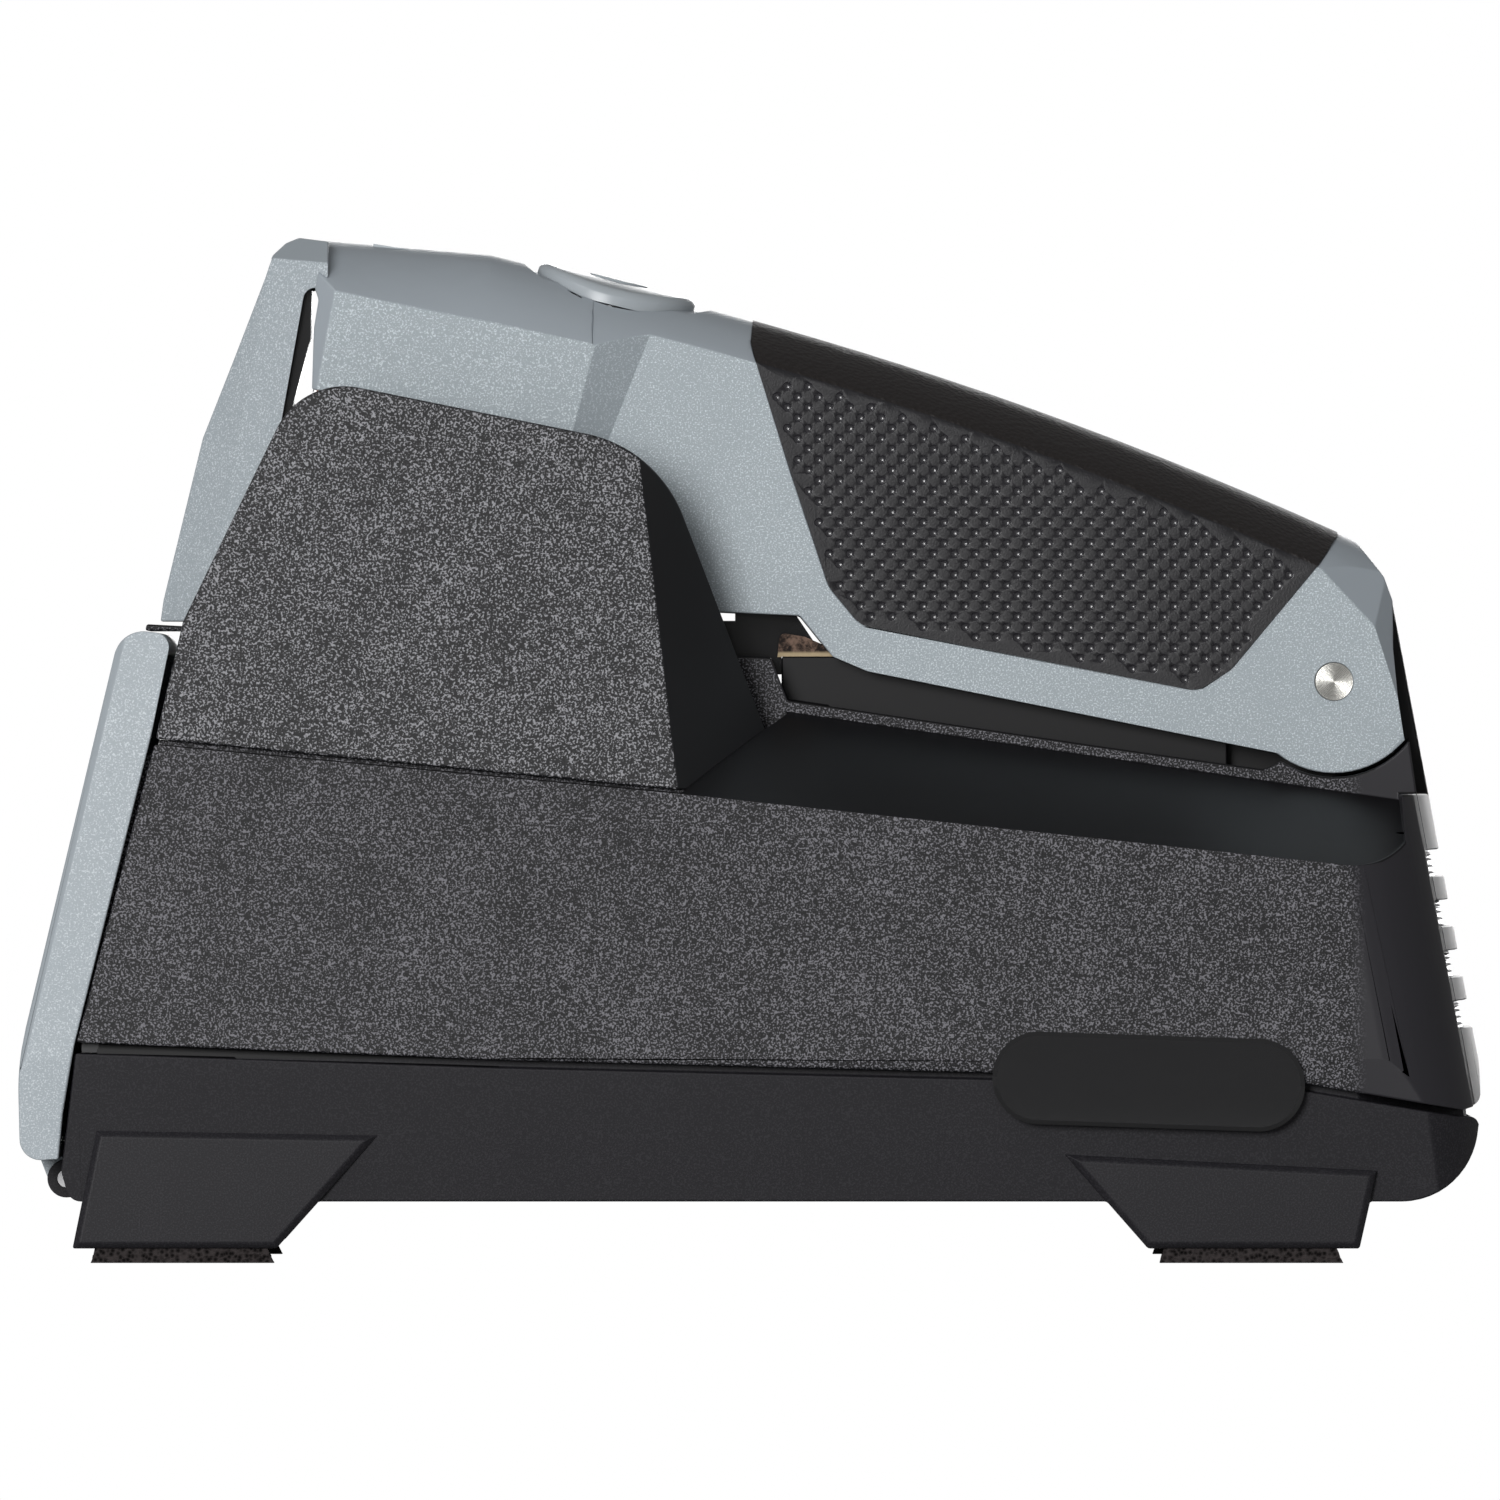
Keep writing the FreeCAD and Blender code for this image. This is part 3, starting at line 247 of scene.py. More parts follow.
# %% Plain finishes
guide = Finish("guide_black", srgb(20, 20, 22), 0.16, Specular_IOR_Level=0.5)
button = Finish("button_grey", srgb(170, 177, 182), 0.30)
lens = Finish("lens", srgb(190, 198, 202), 0.18, Coat_Weight=0.5)
plate = Finish("plate", srgb(20, 20, 22), 0.10, Coat_Weight=0.6)
steel = Finish("steel", (0.55, 0.55, 0.56), 0.30, 1.0)
screw = Finish("screw", (0.03, 0.03, 0.032), 0.35, 0.6)
brass = Finish("brass", (0.62, 0.42, 0.18), 0.4, 1.0)
idler = Finish("idler", (0.78, 0.78, 0.79), 0.28, 1.0)
winding = Finish("armature", (0.5, 0.2, 0.07), 0.35, 0.7)
fan = Finish("fan", srgb(214, 212, 206), 0.4)
board = Finish("board", (0.02, 0.14, 0.05), 0.4)
chassis = Finish("chassis", srgb(40, 40, 43), 0.45)
print("plain", [f.name for f in (guide, button, lens, plate, steel, screw, brass, idler, winding)])

# %% [markdown]
# The grip is soft rubber. Its top has a leathery look, which comes from rounded cells, and the
# inside of each dimple on its sides is shinier than the rubber between them, and painted lighter as a
# painted highlight. Two marks on its faces, one for the top and one for the dimples, keep this to one
# finish.

# %% Finish of the grip
grip = Finish("grip_rubber", srgb(48, 47, 51), 0.5, Specular_IOR_Level=0.5)
leather = grip.node("ShaderNodeTexVoronoi", {"feature": "SMOOTH_F1"}, Vector=grip.place(), Scale=1100.0,
                    Smoothness=0.4)
on_top = grip.mark("top")
in_pit = grip.mark("pit")
grip_fine = grip.noise(0.0003, 2.0, 0.5)
# Dimple faces are painted lighter: a painted highlight in each dimple.
side_and_pit_highlight = grip.blend(srgb(26, 25, 29), srgb(46, 45, 49), in_pit)
grip.set("Base Color", grip.blend(side_and_pit_highlight, srgb(26, 21, 20), on_top))
grip.set("Roughness", 0.5 - in_pit * 0.26)
grip.set("Coat Weight", in_pit * 0.7)
grip.set("Coat Roughness", 0.12)
grip.bump(leather * on_top * 2.0 + grip_fine * 0.5, 0.00012)

# %% [markdown]
# The pads are open foam, so their height comes from small cells, and their colour is darkened in
# the cells with painted shade. The rollers have a fine moulded roughness, and the belt is grit on
# cloth.

# %% Foam, roller and belt
foam = Finish("pad_foam", srgb(50, 45, 45), 0.95, Specular_IOR_Level=0.15)
pores = foam.node("ShaderNodeTexVoronoi", Vector=foam.place(), Scale=1300.0)
# The dark colour in the pores is painted shade.
foam.set("Base Color", foam.blend(srgb(12, 9, 9), srgb(62, 57, 57), pores.step(0.10, 0.75)))
foam.bump(pores, 0.0003)

roller = Finish("roller", srgb(44, 44, 46), 0.7)
roller.bump(roller.noise(0.0008, 3.0, 0.6), 0.0001)

belt = Finish("belt", srgb(196, 150, 132), 0.9)
grit = belt.noise(0.00035, 2.0, 0.6)
belt.set("Base Color", belt.blend(srgb(150, 96, 78), srgb(214, 176, 156), grit.step(0.35, 0.65)))
belt.bump(grit, 0.0001)

# %% [markdown]
# The spare belt is worn and mottled, with a pale hem along its lower edge. The hem is a step on
# the height, because its line is straight and its place is known.

# %% Spare belt
hem_height = 101.7 * MM
spare = Finish("spare", srgb(92, 72, 62), 0.95)
spare_z = spare.axes()[2]
mottle = spare.noise(0.0016, 4.0, 0.7)
worn = spare.blend(srgb(36, 28, 25), srgb(132, 108, 94), mottle.step(0.38, 0.62))
hem = (hem_height - spare_z).step(-0.3 * MM, 0.3 * MM)
spare.set("Base Color", spare.blend(worn, srgb(196, 176, 142), hem))
spare.bump(mottle, 0.0003)

# %% [markdown]
# The filter behind the louvres is perforated sheet. Only its edges show between the slats, so
# its holes are not cut: they are waves in its height, and dark waves in its colour that paint the shade
# behind each hole. The hinge pin's end was turned on a lathe, so its tool marks are rings about its own
# axis.

# %% Filter and hinge pin
hole_pitch = 1.1 * MM
ring_pitch = 0.22 * MM
pin_place = (97.75 * MM, 96.8 * MM)
mesh = Finish("mesh", (0.82, 0.82, 0.84), 0.30, 1.0)
mesh_y, mesh_z = mesh.axes()[1:]
ribs = (mesh_z * (2.0 * math.pi / hole_pitch)).math("SINE")
rows = (mesh_y * (2.0 * math.pi / hole_pitch)).math("SINE")
# The holes are painted dark: painted shade behind the open sheet.
hole_shade = (0.16, 0.16, 0.17)
bright_rib = (0.86, 0.86, 0.88)
mesh.set("Base Color", mesh.blend(hole_shade, bright_rib, (ribs * rows).step(-0.3, 0.3)))
mesh.bump(ribs, 0.0003)

pin = Finish("pin_steel", srgb(176, 175, 170), 0.30, 1.0)
pin_x, _, pin_z = pin.axes()
from_x = pin_x - pin_place[0]
from_z = pin_z - pin_place[1]
out = (from_x * from_x + from_z * from_z).math("SQRT")
turned = (out * (2.0 * math.pi / ring_pitch)).math("SINE") + pin.noise(0.0004, 2.0) * 1.5
pin.set("Roughness", turned.step(-1.0, 2.0) * 0.22 + 0.2)
pin.bump(turned, 0.00001)

# %% [markdown]
# Each node's record names its material slot. The finish of that name goes on the node's mesh.

# %% Put the finishes on the nodes
finishes = {f.name: f for f in (body, cheek, tray, shell, nose, door, guide, grip, button, lens,
                                plate, foam, steel, pin, screw, brass, idler, roller, mesh,
                                winding, fan, board, chassis, belt, spare)}
for entry in frame["record"]["subparts"]:
    piece = frame["nodes"][entry["node"]]
    piece.data.materials.clear()
    piece.data.materials.append(finishes[entry["material_slot"]].material)
print("finishes", len(finishes))

# %% [markdown]
# A mould can't cut a perfectly sharp edge, and a real edge shows as a thin line of light. The
# angle between two triangles doesn't tell a real edge from a step in a curve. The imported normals
# do: they differ across a real edge, and agree across a curve. So each moulding is copied, its
# real edges are marked from the normals, and its flat triangles are joined back into faces.

# %% Find the real edges
def joined(node, flat=0.1, crease=6.0):
    """The node's own mesh with its double points and flat seams removed and its edges marked."""
    source = frame["nodes"][node].data
    shape = bmesh.new()
    shape.from_mesh(source)
    normal = shape.loops.layers.float_vector.new("cad_normal")
    for face, polygon in zip(shape.faces, source.polygons):
        for loop, index in zip(face.loops, polygon.loop_indices):
            loop[normal] = source.corner_normals[index].vector
    bmesh.ops.remove_doubles(shape, verts=shape.verts, dist=1e-6)
    least_cosine = math.cos(math.radians(crease))
    for edge in shape.edges:
        edge.smooth = True
        if len(edge.link_loops) == 2:
            first, second = edge.link_loops
            pairs = ((first, second.link_loop_next), (first.link_loop_next, second))
            edge.smooth = all(a[normal].dot(b[normal]) > least_cosine for a, b in pairs)
    bmesh.ops.dissolve_limit(shape, angle_limit=math.radians(flat), verts=shape.verts,
                             edges=shape.edges, delimit={"SHARP"})
    shape.loops.layers.float_vector.remove(shape.loops.layers.float_vector["cad_normal"])
    return shape


# %% [markdown]
# A round needs room. Beside a short edge the width is made smaller, so that no round runs into
# the next one.

# %% Room for the rounds
least_angle = 8.0
rooms_per_width = 3.0


def weighed(shape, width):
    """Give each sharp edge the share of the width that fits beside its shortest neighbour."""
    weight = shape.edges.layers.float.new("bevel_weight_edge")
    for edge in shape.edges:
        if edge.smooth or len(edge.link_faces) != 2:
            continue
        if edge.calc_face_angle() > math.radians(least_angle):
            room = min(e.calc_length() for v in edge.verts for e in v.link_edges)
            edge[weight] = min(1.0, room / (rooms_per_width * width))
            edge.smooth = True


# %% [markdown]
# A copy stands in for its node, moves with the same body and keeps the same slot. Modifiers are
# applied on a scratch object, because the final piece has to be a plain mesh.

# %% Show a mesh in place of a node
body_of = {}
for name, entry in frame["record"]["behaviour"]["bodies"].items():
    for node in entry:
        body_of[node] = name


def show(node, mesh):
    """Show a mesh in place of a node, on the same body and with the same finish."""
    piece = bpy.data.objects.new(node + "_shown", mesh)
    bpy.context.collection.objects.link(piece)
    mesh.materials.clear()
    mesh.materials.append(finishes[slot_of[node]].material)
    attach(piece, body_of[node])
    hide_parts(node)
    return piece


def applied(mesh, *modifiers):
    """The mesh after its modifiers, each given as a type and its settings."""
    holder = bpy.data.objects.new("work", mesh)
    bpy.context.collection.objects.link(holder)
    for kind, settings in modifiers:
        modifier = holder.modifiers.new(kind.lower(), kind)
        for key, value in settings.items():
            setattr(modifier, key, value)
    graph = bpy.context.evaluated_depsgraph_get()
    result = bpy.data.meshes.new_from_object(holder.evaluated_get(graph))
    bpy.data.objects.remove(holder)
    return result


def marked(mesh, name, rule):
    """Store on each face the number that the rule gives for its middle and its normal."""
    values = mesh.attributes.new(name, "FLOAT", "FACE")
    for polygon in mesh.polygons:
        values.data[polygon.index].value = rule(polygon.center / MM, polygon.normal)


def open_edges(mesh):
    """How many edges don't lie between two faces. A closed piece has none."""
    shape = bmesh.new()
    shape.from_mesh(mesh)
    count = sum(1 for e in shape.edges if len(e.link_faces) != 2)
    shape.free()
    return count


# %% [markdown]
# The Bevel modifier makes the rounds by weight. A few corners with many edges throw a point far
# out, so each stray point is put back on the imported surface. Weighted normals keep the flat faces
# looking flat beside their rounds.

# %% Round the edges
stray_share = 0.6


def rounded(node, width, rule):
    """Show the node with rounds of this width in millimetres, and its grain by the rule."""
    shape = joined(node)
    weighed(shape, width * MM)
    mesh = bpy.data.meshes.new(node + "_shown")
    for face in shape.faces:
        face.smooth = True
    shape.to_mesh(mesh)
    shape.free()
    mesh = applied(mesh, ("BEVEL", {"width": width * MM, "segments": 2, "limit_method": "WEIGHT",
                                    "use_clamp_overlap": False}))
    source = frame["nodes"][node].data
    skin = BVHTree.FromPolygons([v.co for v in source.vertices], [p.vertices for p in source.polygons])
    for vertex in mesh.vertices:
        near, _, _, away = skin.find_nearest(vertex.co)
        if away > stray_share * width * MM:
            vertex.co = near
    mesh = applied(mesh, ("WEIGHTED_NORMAL", {"keep_sharp": True}))
    marked(mesh, "grain", rule)
    piece = show(node, mesh)
    print(piece.name, len(mesh.polygons), "faces", open_edges(mesh), "open edges")
    return piece


# %% [markdown]
# The rules say where the grain is, and where painted shade goes. On the housing the grain leaves out
# the faces under the arm and the floor beside it, which get painted shade. On the cheeks it stops at
# their bevels, on the grey mouldings it covers the sides only, and the tray's lip inside the seam gets
# painted shade.

# %% Where the grain and the painted shade are
def between(value, low, high):
    """0 at low, 1 at high, and straight between them."""
    return min(1.0, max(0.0, (value - low) / (high - low)))


def body_grain_and_shade(place, normal):
    """The faces under the arm and the faces turned upwards, such as the recess, get painted shade, and
    the rear corners are smooth.
    """
    # A mark of -1 is painted shade, for faces under the arm and faces turned upwards.
    if abs(place.y) < 20.0 or normal.z > 0.35:
        return -1.0
    return 1.0 - between(normal.x, 0.02, 0.30)


def cheek_grain(place, normal):
    """The bevel towards the rear is smooth, and so is the top."""
    return 0.0 if normal.x > 0.30 else 1.0 - between(normal.z, 0.3, 0.7)


def side_grain(place, normal):
    """Only faces that look sideways are grained."""
    return between(abs(normal.y), 0.80, 0.95)


def nose_grain(place, normal):
    """The cap on top of the nose is smooth."""
    return between(normal.z, 0.75, 0.35)


def tray_grain_and_shade(place, normal):
    """The lip inside the seam gets painted shade."""
    return -1.0 if place.z > 33.0 and abs(place.y) < 56.9 else 1.0


rounded("base_housing", 0.35, body_grain_and_shade)
rounded("cheek_left", 0.40, cheek_grain)
rounded("cheek_right", 0.40, cheek_grain)
rounded("lower_tray", 0.35, tray_grain_and_shade)
rounded("arm_shell", 0.30, side_grain)
rounded("guide_nose", 0.30, nose_grain)
rounded("front_door", 0.40, side_grain)

# %% [markdown]
# The sides of the grip carry small round dimples in staggered rows. A bump could draw them, but
# a dimple this deep shows in its own shadow. Each side is refilled from its own outline with a
# hole for every dimple, and a bowl is set into each hole. Geometry Nodes does the repeating,
# since it can place nearly four hundred bowls from one.

# %% One dimple
dimple_radius = 0.80
dimple_depth = 0.42
dimple_pitch = 3.5
dimple_margin = 0.55
rim_points = 12


def bowl():
    """One dimple, open upwards, with its rim in the plane z = 0."""
    rings = [(1.0, 0.0), (0.90, 0.30), (0.66, 0.74), (0.34, 0.96)]
    points = [(dimple_radius * r * math.cos(a), dimple_radius * r * math.sin(a), -dimple_depth * d)
              for r, d in rings for a in (2.0 * math.pi * i / rim_points for i in range(rim_points))]
    points.append((0.0, 0.0, -dimple_depth))
    faces = []
    for ring in range(len(rings) - 1):
        for i in range(rim_points):
            j = (i + 1) % rim_points
            faces.append((ring * rim_points + i, ring * rim_points + j, (ring + 1) * rim_points + j,
                          (ring + 1) * rim_points + i))
    last = (len(rings) - 1) * rim_points
    faces += [(last + i, last + (i + 1) % rim_points, len(points) - 1) for i in range(rim_points)]
    mesh = bpy.data.meshes.new("bowl")
    mesh.from_pydata(points, [], faces)
    return mesh


print("dimples", dimple_radius * 2.0, "mm wide and", dimple_depth, "mm deep")


# %% [markdown]
# A dimple that the outline would cut is left out, as on the real grip. A point is inside if a
# line from it crosses the outline an odd number of times.

# %% Points inside the outline
def inside(outline, x, y, margin):
    """Whether a point lies inside the outline and further than margin from it."""
    crossings = 0
    for (ax, ay), (bx, by) in zip(outline, outline[1:] + outline[:1]):
        if (ay > y) != (by > y) and x < ax + (y - ay) * (bx - ax) / (by - ay):
            crossings += 1
        length = math.hypot(bx - ax, by - ay)
        along = ((x - ax) * (bx - ax) + (y - ay) * (by - ay)) / max(length * length, 1e-9)
        along = max(0.0, min(1.0, along))
        if math.hypot(x - ax - along * (bx - ax), y - ay - along * (by - ay)) < margin:
            return False
    return crossings % 2 == 1


# %% [markdown]
# The tree takes the outline and its marked points. It puts a circle and a bowl on each point,
# fills the outline round the circles, and joins the two along their common rims.

# %% Tree for the dimples
def node_group():
    """Fill an outline round the holes at the marked points, and set a bowl in each hole."""
    group = bpy.data.node_groups.new("dimples", "GeometryNodeTree")
    for name, kind in (("Outline", "NodeSocketGeometry"), ("Radius", "NodeSocketFloat"),
                       ("Rim points", "NodeSocketInt"), ("Bowl", "NodeSocketObject"),
                       ("Finish", "NodeSocketMaterial")):
        group.interface.new_socket(name, in_out="INPUT", socket_type=kind)
    group.interface.new_socket("Side", in_out="OUTPUT", socket_type="NodeSocketGeometry")
    made = {}

    def node(name, kind, **settings):
        made[name] = group.nodes.new(kind)
        for key, value in settings.items():
            setattr(made[name], key, value)
        return made[name]

    def link(start, end):
        group.links.new(made[start[0]].outputs[start[1]], made[end[0]].inputs[end[1]])

    node("in", "NodeGroupInput")
    node("out", "NodeGroupOutput")
    node("curve", "GeometryNodeMeshToCurve")
    mark = node("mark", "GeometryNodeInputNamedAttribute", data_type="BOOLEAN")
    mark.inputs["Name"].default_value = "dimple"
    node("points", "GeometryNodeMeshToPoints")
    node("circle", "GeometryNodeCurvePrimitiveCircle", mode="RADIUS")
    node("holes", "GeometryNodeInstanceOnPoints")
    node("flat_holes", "GeometryNodeRealizeInstances")
    node("lines", "GeometryNodeJoinGeometry")
    node("fill", "GeometryNodeFillCurve", mode="TRIANGLES")
    node("bowl", "GeometryNodeObjectInfo")
    node("bowls", "GeometryNodeInstanceOnPoints")
    node("flat_bowls", "GeometryNodeRealizeInstances")
    node("side", "GeometryNodeJoinGeometry")
    node("merged", "GeometryNodeMergeByDistance")
    made["merged"].inputs["Distance"].default_value = 0.002
    node("real", "GeometryNodeRealizeInstances")
    node("finish", "GeometryNodeSetMaterial")
    link(("in", "Outline"), ("curve", "Mesh"))
    link(("in", "Outline"), ("points", "Mesh"))
    link(("mark", "Attribute"), ("points", "Selection"))
    link(("in", "Rim points"), ("circle", "Resolution"))
    link(("in", "Radius"), ("circle", "Radius"))
    link(("points", "Points"), ("holes", "Points"))
    link(("circle", "Curve"), ("holes", "Instance"))
    link(("holes", "Instances"), ("flat_holes", "Geometry"))
    link(("curve", "Curve"), ("lines", "Geometry"))
    link(("flat_holes", "Geometry"), ("lines", "Geometry"))
    link(("lines", "Geometry"), ("fill", "Curve"))
    link(("in", "Bowl"), ("bowl", "Object"))
    link(("points", "Points"), ("bowls", "Points"))
    link(("bowl", "Geometry"), ("bowls", "Instance"))
    link(("bowls", "Instances"), ("flat_bowls", "Geometry"))
    link(("fill", "Mesh"), ("side", "Geometry"))
    link(("flat_bowls", "Geometry"), ("side", "Geometry"))
    link(("side", "Geometry"), ("merged", "Geometry"))
    link(("merged", "Geometry"), ("real", "Geometry"))
    link(("real", "Geometry"), ("finish", "Geometry"))
    link(("in", "Finish"), ("finish", "Material"))
    link(("finish", "Geometry"), ("out", "Side"))
    return group


# %% [markdown]
# One side is worked out in its own plane, in millimetres. The far side is its mirror image.

# %% One dimpled side
def dimpled_side(outline, group, bowl_object, centres):
    """The filled and dimpled side in millimetres, in the plane of the outline."""
    xs = [p[0] for p in outline]
    ys = [p[1] for p in outline]
    rows = int((max(ys) - min(ys)) / (dimple_pitch / 2.0)) + 1
    columns = int((max(xs) - min(xs)) / dimple_pitch) + 2
    for row in range(rows):
        for column in range(columns):
            x = min(xs) + dimple_pitch * (column + 0.5 * (row % 2))
            y = min(ys) + dimple_pitch / 2.0 * row
            if inside(outline, x, y, dimple_radius + dimple_margin):
                centres.append((x, y, 0.0))
    count = len(outline)
    mesh = bpy.data.meshes.new("outline")
    edges = [(i, (i + 1) % count) for i in range(count)]
    mesh.from_pydata([(x, y, 0.0) for x, y in outline] + centres, edges, [])
    flags = mesh.attributes.new("dimple", "BOOLEAN", "POINT")
    for i in range(len(centres)):
        flags.data[count + i].value = True
    holder = bpy.data.objects.new("outline", mesh)
    bpy.context.collection.objects.link(holder)
    modifier = holder.modifiers.new("dimples", "NODES")
    modifier.node_group = group
    items = group.interface.items_tree
    sockets = {item.name: item.identifier for item in items if item.in_out == "INPUT"}
    modifier[sockets["Radius"]] = dimple_radius
    modifier[sockets["Rim points"]] = rim_points
    modifier[sockets["Bowl"]] = bowl_object
    modifier[sockets["Finish"]] = grip.material
    graph = bpy.context.evaluated_depsgraph_get()
    result = bpy.data.meshes.new_from_object(holder.evaluated_get(graph))
    bpy.data.objects.remove(holder)
    print("dimples", len(centres), "faces", len(result.polygons), "open edges", open_edges(result))
    return result


# %% [markdown]
# The flat sides of the grip's copy are taken out, and their outline is followed round. The
# dimpled sides then go in, and the doubled points along the outline are merged, so that the grip
# is closed again. Its finish needs two marks. A face is in a dimple if it lies below the side,
# within the dimple's radius of a centre, and it is on the top if it doesn't face sideways.

# %% The dimpled grip
same_plane = 0.01 * MM
same_point = 0.002 * MM
pit_start = 0.005
pit_end = 0.5
top_start = 0.02
sharp_corner = math.radians(40.0)


def dimpled_grip():
    """Show the grip with dimples in both of its sides."""
    shape = joined("grip_cover", 0.2)
    half = max(v.co.y for v in shape.verts)
    sideways = [f for f in shape.faces if abs(f.normal.y) > 0.99]
    flat = [f for f in sideways if abs(abs(f.calc_center_median().y) - half) < same_plane]
    near = [f for f in flat if f.normal.y < 0.0]
    edges = [e for f in near for e in f.edges if sum(1 for g in e.link_faces if g in near) == 1]
    follow = {}
    for e in edges:
        face = [f for f in e.link_faces if f in near][0]
        for loop in face.loops:
            if loop.edge == e:
                follow[loop.vert] = loop.link_loop_next.vert
    start = next(iter(follow))
    outline = [start]
    while follow[outline[-1]] != start:
        outline.append(follow[outline[-1]])
    outline = [(v.co.x / MM, v.co.z / MM) for v in outline]
    print("outline points", len(outline), "flat faces", len(flat))
    bmesh.ops.delete(shape, geom=flat, context="FACES")
    bowl_object = bpy.data.objects.new("bowl", bowl())
    bpy.context.collection.objects.link(bowl_object)
    centres = []
    side = dimpled_side(outline, node_group(), bowl_object, centres)
    bpy.data.objects.remove(bowl_object)
    for sign in (-1.0, 1.0):
        copy = side.copy()
        copy.transform(Matrix(((MM, 0, 0, 0), (0, 0, sign * MM, sign * half), (0, MM, 0, 0),
                               (0, 0, 0, 1))))
        if sign > 0:
            copy.flip_normals()
        shape.from_mesh(copy)
    bmesh.ops.remove_doubles(shape, verts=shape.verts, dist=same_point)
    mesh = bpy.data.meshes.new("grip_shown")
    shape.to_mesh(mesh)
    shape.free()
    mesh.shade_smooth()
    mesh.set_sharp_from_angle(angle=sharp_corner)
    mesh = applied(mesh, ("WEIGHTED_NORMAL", {"keep_sharp": True}))
    deep = half / MM

    def pit(place, normal):
        """1 inside a dimple."""
        if not deep - pit_end < abs(place.y) < deep - pit_start:
            return 0.0
        return float(any(math.hypot(x - place.x, z - place.z) < dimple_radius for x, z, _ in centres))

    marked(mesh, "pit", pit)
    pits = [value.value for value in mesh.attributes["pit"].data]
    marked(mesh, "top", lambda place, normal: 1.0 - between(abs(normal.y), 0.86, 0.93)
           if abs(place.y) < deep - top_start else 0.0)
    for index, value in enumerate(pits):
        if value > 0.5:
            mesh.attributes["top"].data[index].value = 0.0
    piece = show("grip_cover", mesh)
    print(piece.name, len(mesh.polygons), "faces", open_edges(mesh), "open edges")


dimpled_grip()

# %% [markdown]
# The button is a round cap with a bevelled rim and a raised disc in its middle. A Screw modifier
# could turn it, but its crown curves across the arm only. So it is built as rings of points about
# the button's own axis, and each point is lowered by the curve.

# %% Button
button_middle = Vector((-22.3, 0.0, 163.0)) * MM
button_slope = math.radians(13.9)
button_along = Vector((math.cos(button_slope), 0.0, -math.sin(button_slope)))
button_up = Vector((math.sin(button_slope), 0.0, math.cos(button_slope)))
button_crown = 52.0
button_rise = 1.1
button_profile = [(0.0, 0.30), (2.4, 0.30), (4.6, 0.30), (4.9, 0.22), (5.0, 0.0), (6.5, 0.0),
                  (8.0, 0.0), (9.5, 0.0), (11.0, 0.0), (12.4, 0.0), (12.7, -0.04), (13.2, -0.40),
                  (13.52, -0.80), (13.6, -1.1)]
button_skirt = [(13.6, -3.2), (3.0, -3.2), (3.0, -9.0), (0.0, -9.0)]


def turned_cap(segments=96):
    """The button as one closed mesh."""
    shape = bmesh.new()
    rings = []
    for index, (radius, height) in enumerate(button_profile + button_skirt):
        ring = []
        for step in range(segments if radius > 0.0 else 1):
            angle = 2.0 * math.pi * step / segments
            across = radius * math.sin(angle)
            if index < len(button_profile):
                drop = button_crown - math.sqrt(button_crown ** 2 - across ** 2)
                level = height + button_rise - drop
            else:
                level = height
            place = button_middle + (button_along * (radius * math.cos(angle)) + button_up * level) * MM
            place.y = across * MM
            ring.append(shape.verts.new(place))
        rings.append(ring)
    for inner, outer in zip(rings, rings[1:]):
        for step in range(segments):
            after = (step + 1) % segments
            if len(inner) == 1:
                shape.faces.new((inner[0], outer[step], outer[after]))
            elif len(outer) == 1:
                shape.faces.new((inner[step], outer[0], inner[after]))
            else:
                shape.faces.new((inner[step], outer[step], outer[after], inner[after]))
    bmesh.ops.recalc_face_normals(shape, faces=shape.faces)
    mesh = bpy.data.meshes.new("button_shown")
    shape.to_mesh(mesh)
    shape.free()
    mesh.shade_smooth()
    mesh.set_sharp_from_angle(angle=math.radians(35.0))
    return mesh


cap = show("power_button", turned_cap())
print(cap.name, len(cap.data.polygons), "faces", open_edges(cap.data), "open edges")

# %% [markdown]
# The foam pads are cut from a soft sheet, so their sides are pitted and uneven. Their faces are
# split until each edge is short, and each point is pushed inwards by a noise of two sizes. The
# points that stand on the worktop stay where they are.

# %% Foam pads
most_splits = 7
worktop_gap = 0.1 * MM
wide_pit = 0.8 * MM
small_pit = 0.35 * MM
mean_pit = 0.45


def pitted_pads(grain=1.3, pit=0.35):
    """The pads with pits in their sides. Grain and pit are in millimetres."""
    shape = joined("foot_pads")
    bmesh.ops.triangulate(shape, faces=shape.faces)
    for _ in range(most_splits):
        long_edges = [e for e in shape.edges if e.calc_length() > grain * MM]
        if not long_edges:
            break
        bmesh.ops.subdivide_edges(shape, edges=long_edges, cuts=1, use_grid_fill=True)
        bmesh.ops.triangulate(shape, faces=shape.faces)
    shape.normal_update()
    for vertex in shape.verts:
        if worktop_gap < vertex.co.z:
            value = noise.noise(vertex.co / wide_pit) + 0.5 * noise.noise(vertex.co / small_pit)
            sunk = pit * MM * min(1.0, max(0.0, mean_pit + value))
            vertex.co -= Vector((vertex.normal.x, vertex.normal.y, 0.0)) * sunk
    mesh = bpy.data.meshes.new("pads_shown")
    shape.to_mesh(mesh)
    shape.free()
    return mesh


pads = show("foot_pads", pitted_pads())
print(pads.name, len(pads.data.polygons), "faces", open_edges(pads.data), "open edges")

# %% [markdown]
# The seam between the housing and the tray is open at its front end, and light would show through
# it. A longer lip on the tray would close it too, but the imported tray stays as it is, so a short
# dark strip goes behind the seam.

# %% Strip behind the seam
def plain_box(name, low, high):
    """A box between two corners in millimetres."""
    shape = bmesh.new()
    bmesh.ops.create_cube(shape, size=1.0)
    for vertex in shape.verts:
        vertex.co = Vector([(a if c < 0.0 else b) * MM for a, b, c in zip(low, high, vertex.co)])
    mesh = bpy.data.meshes.new(name)
    shape.to_mesh(mesh)
    shape.free()
    return mesh


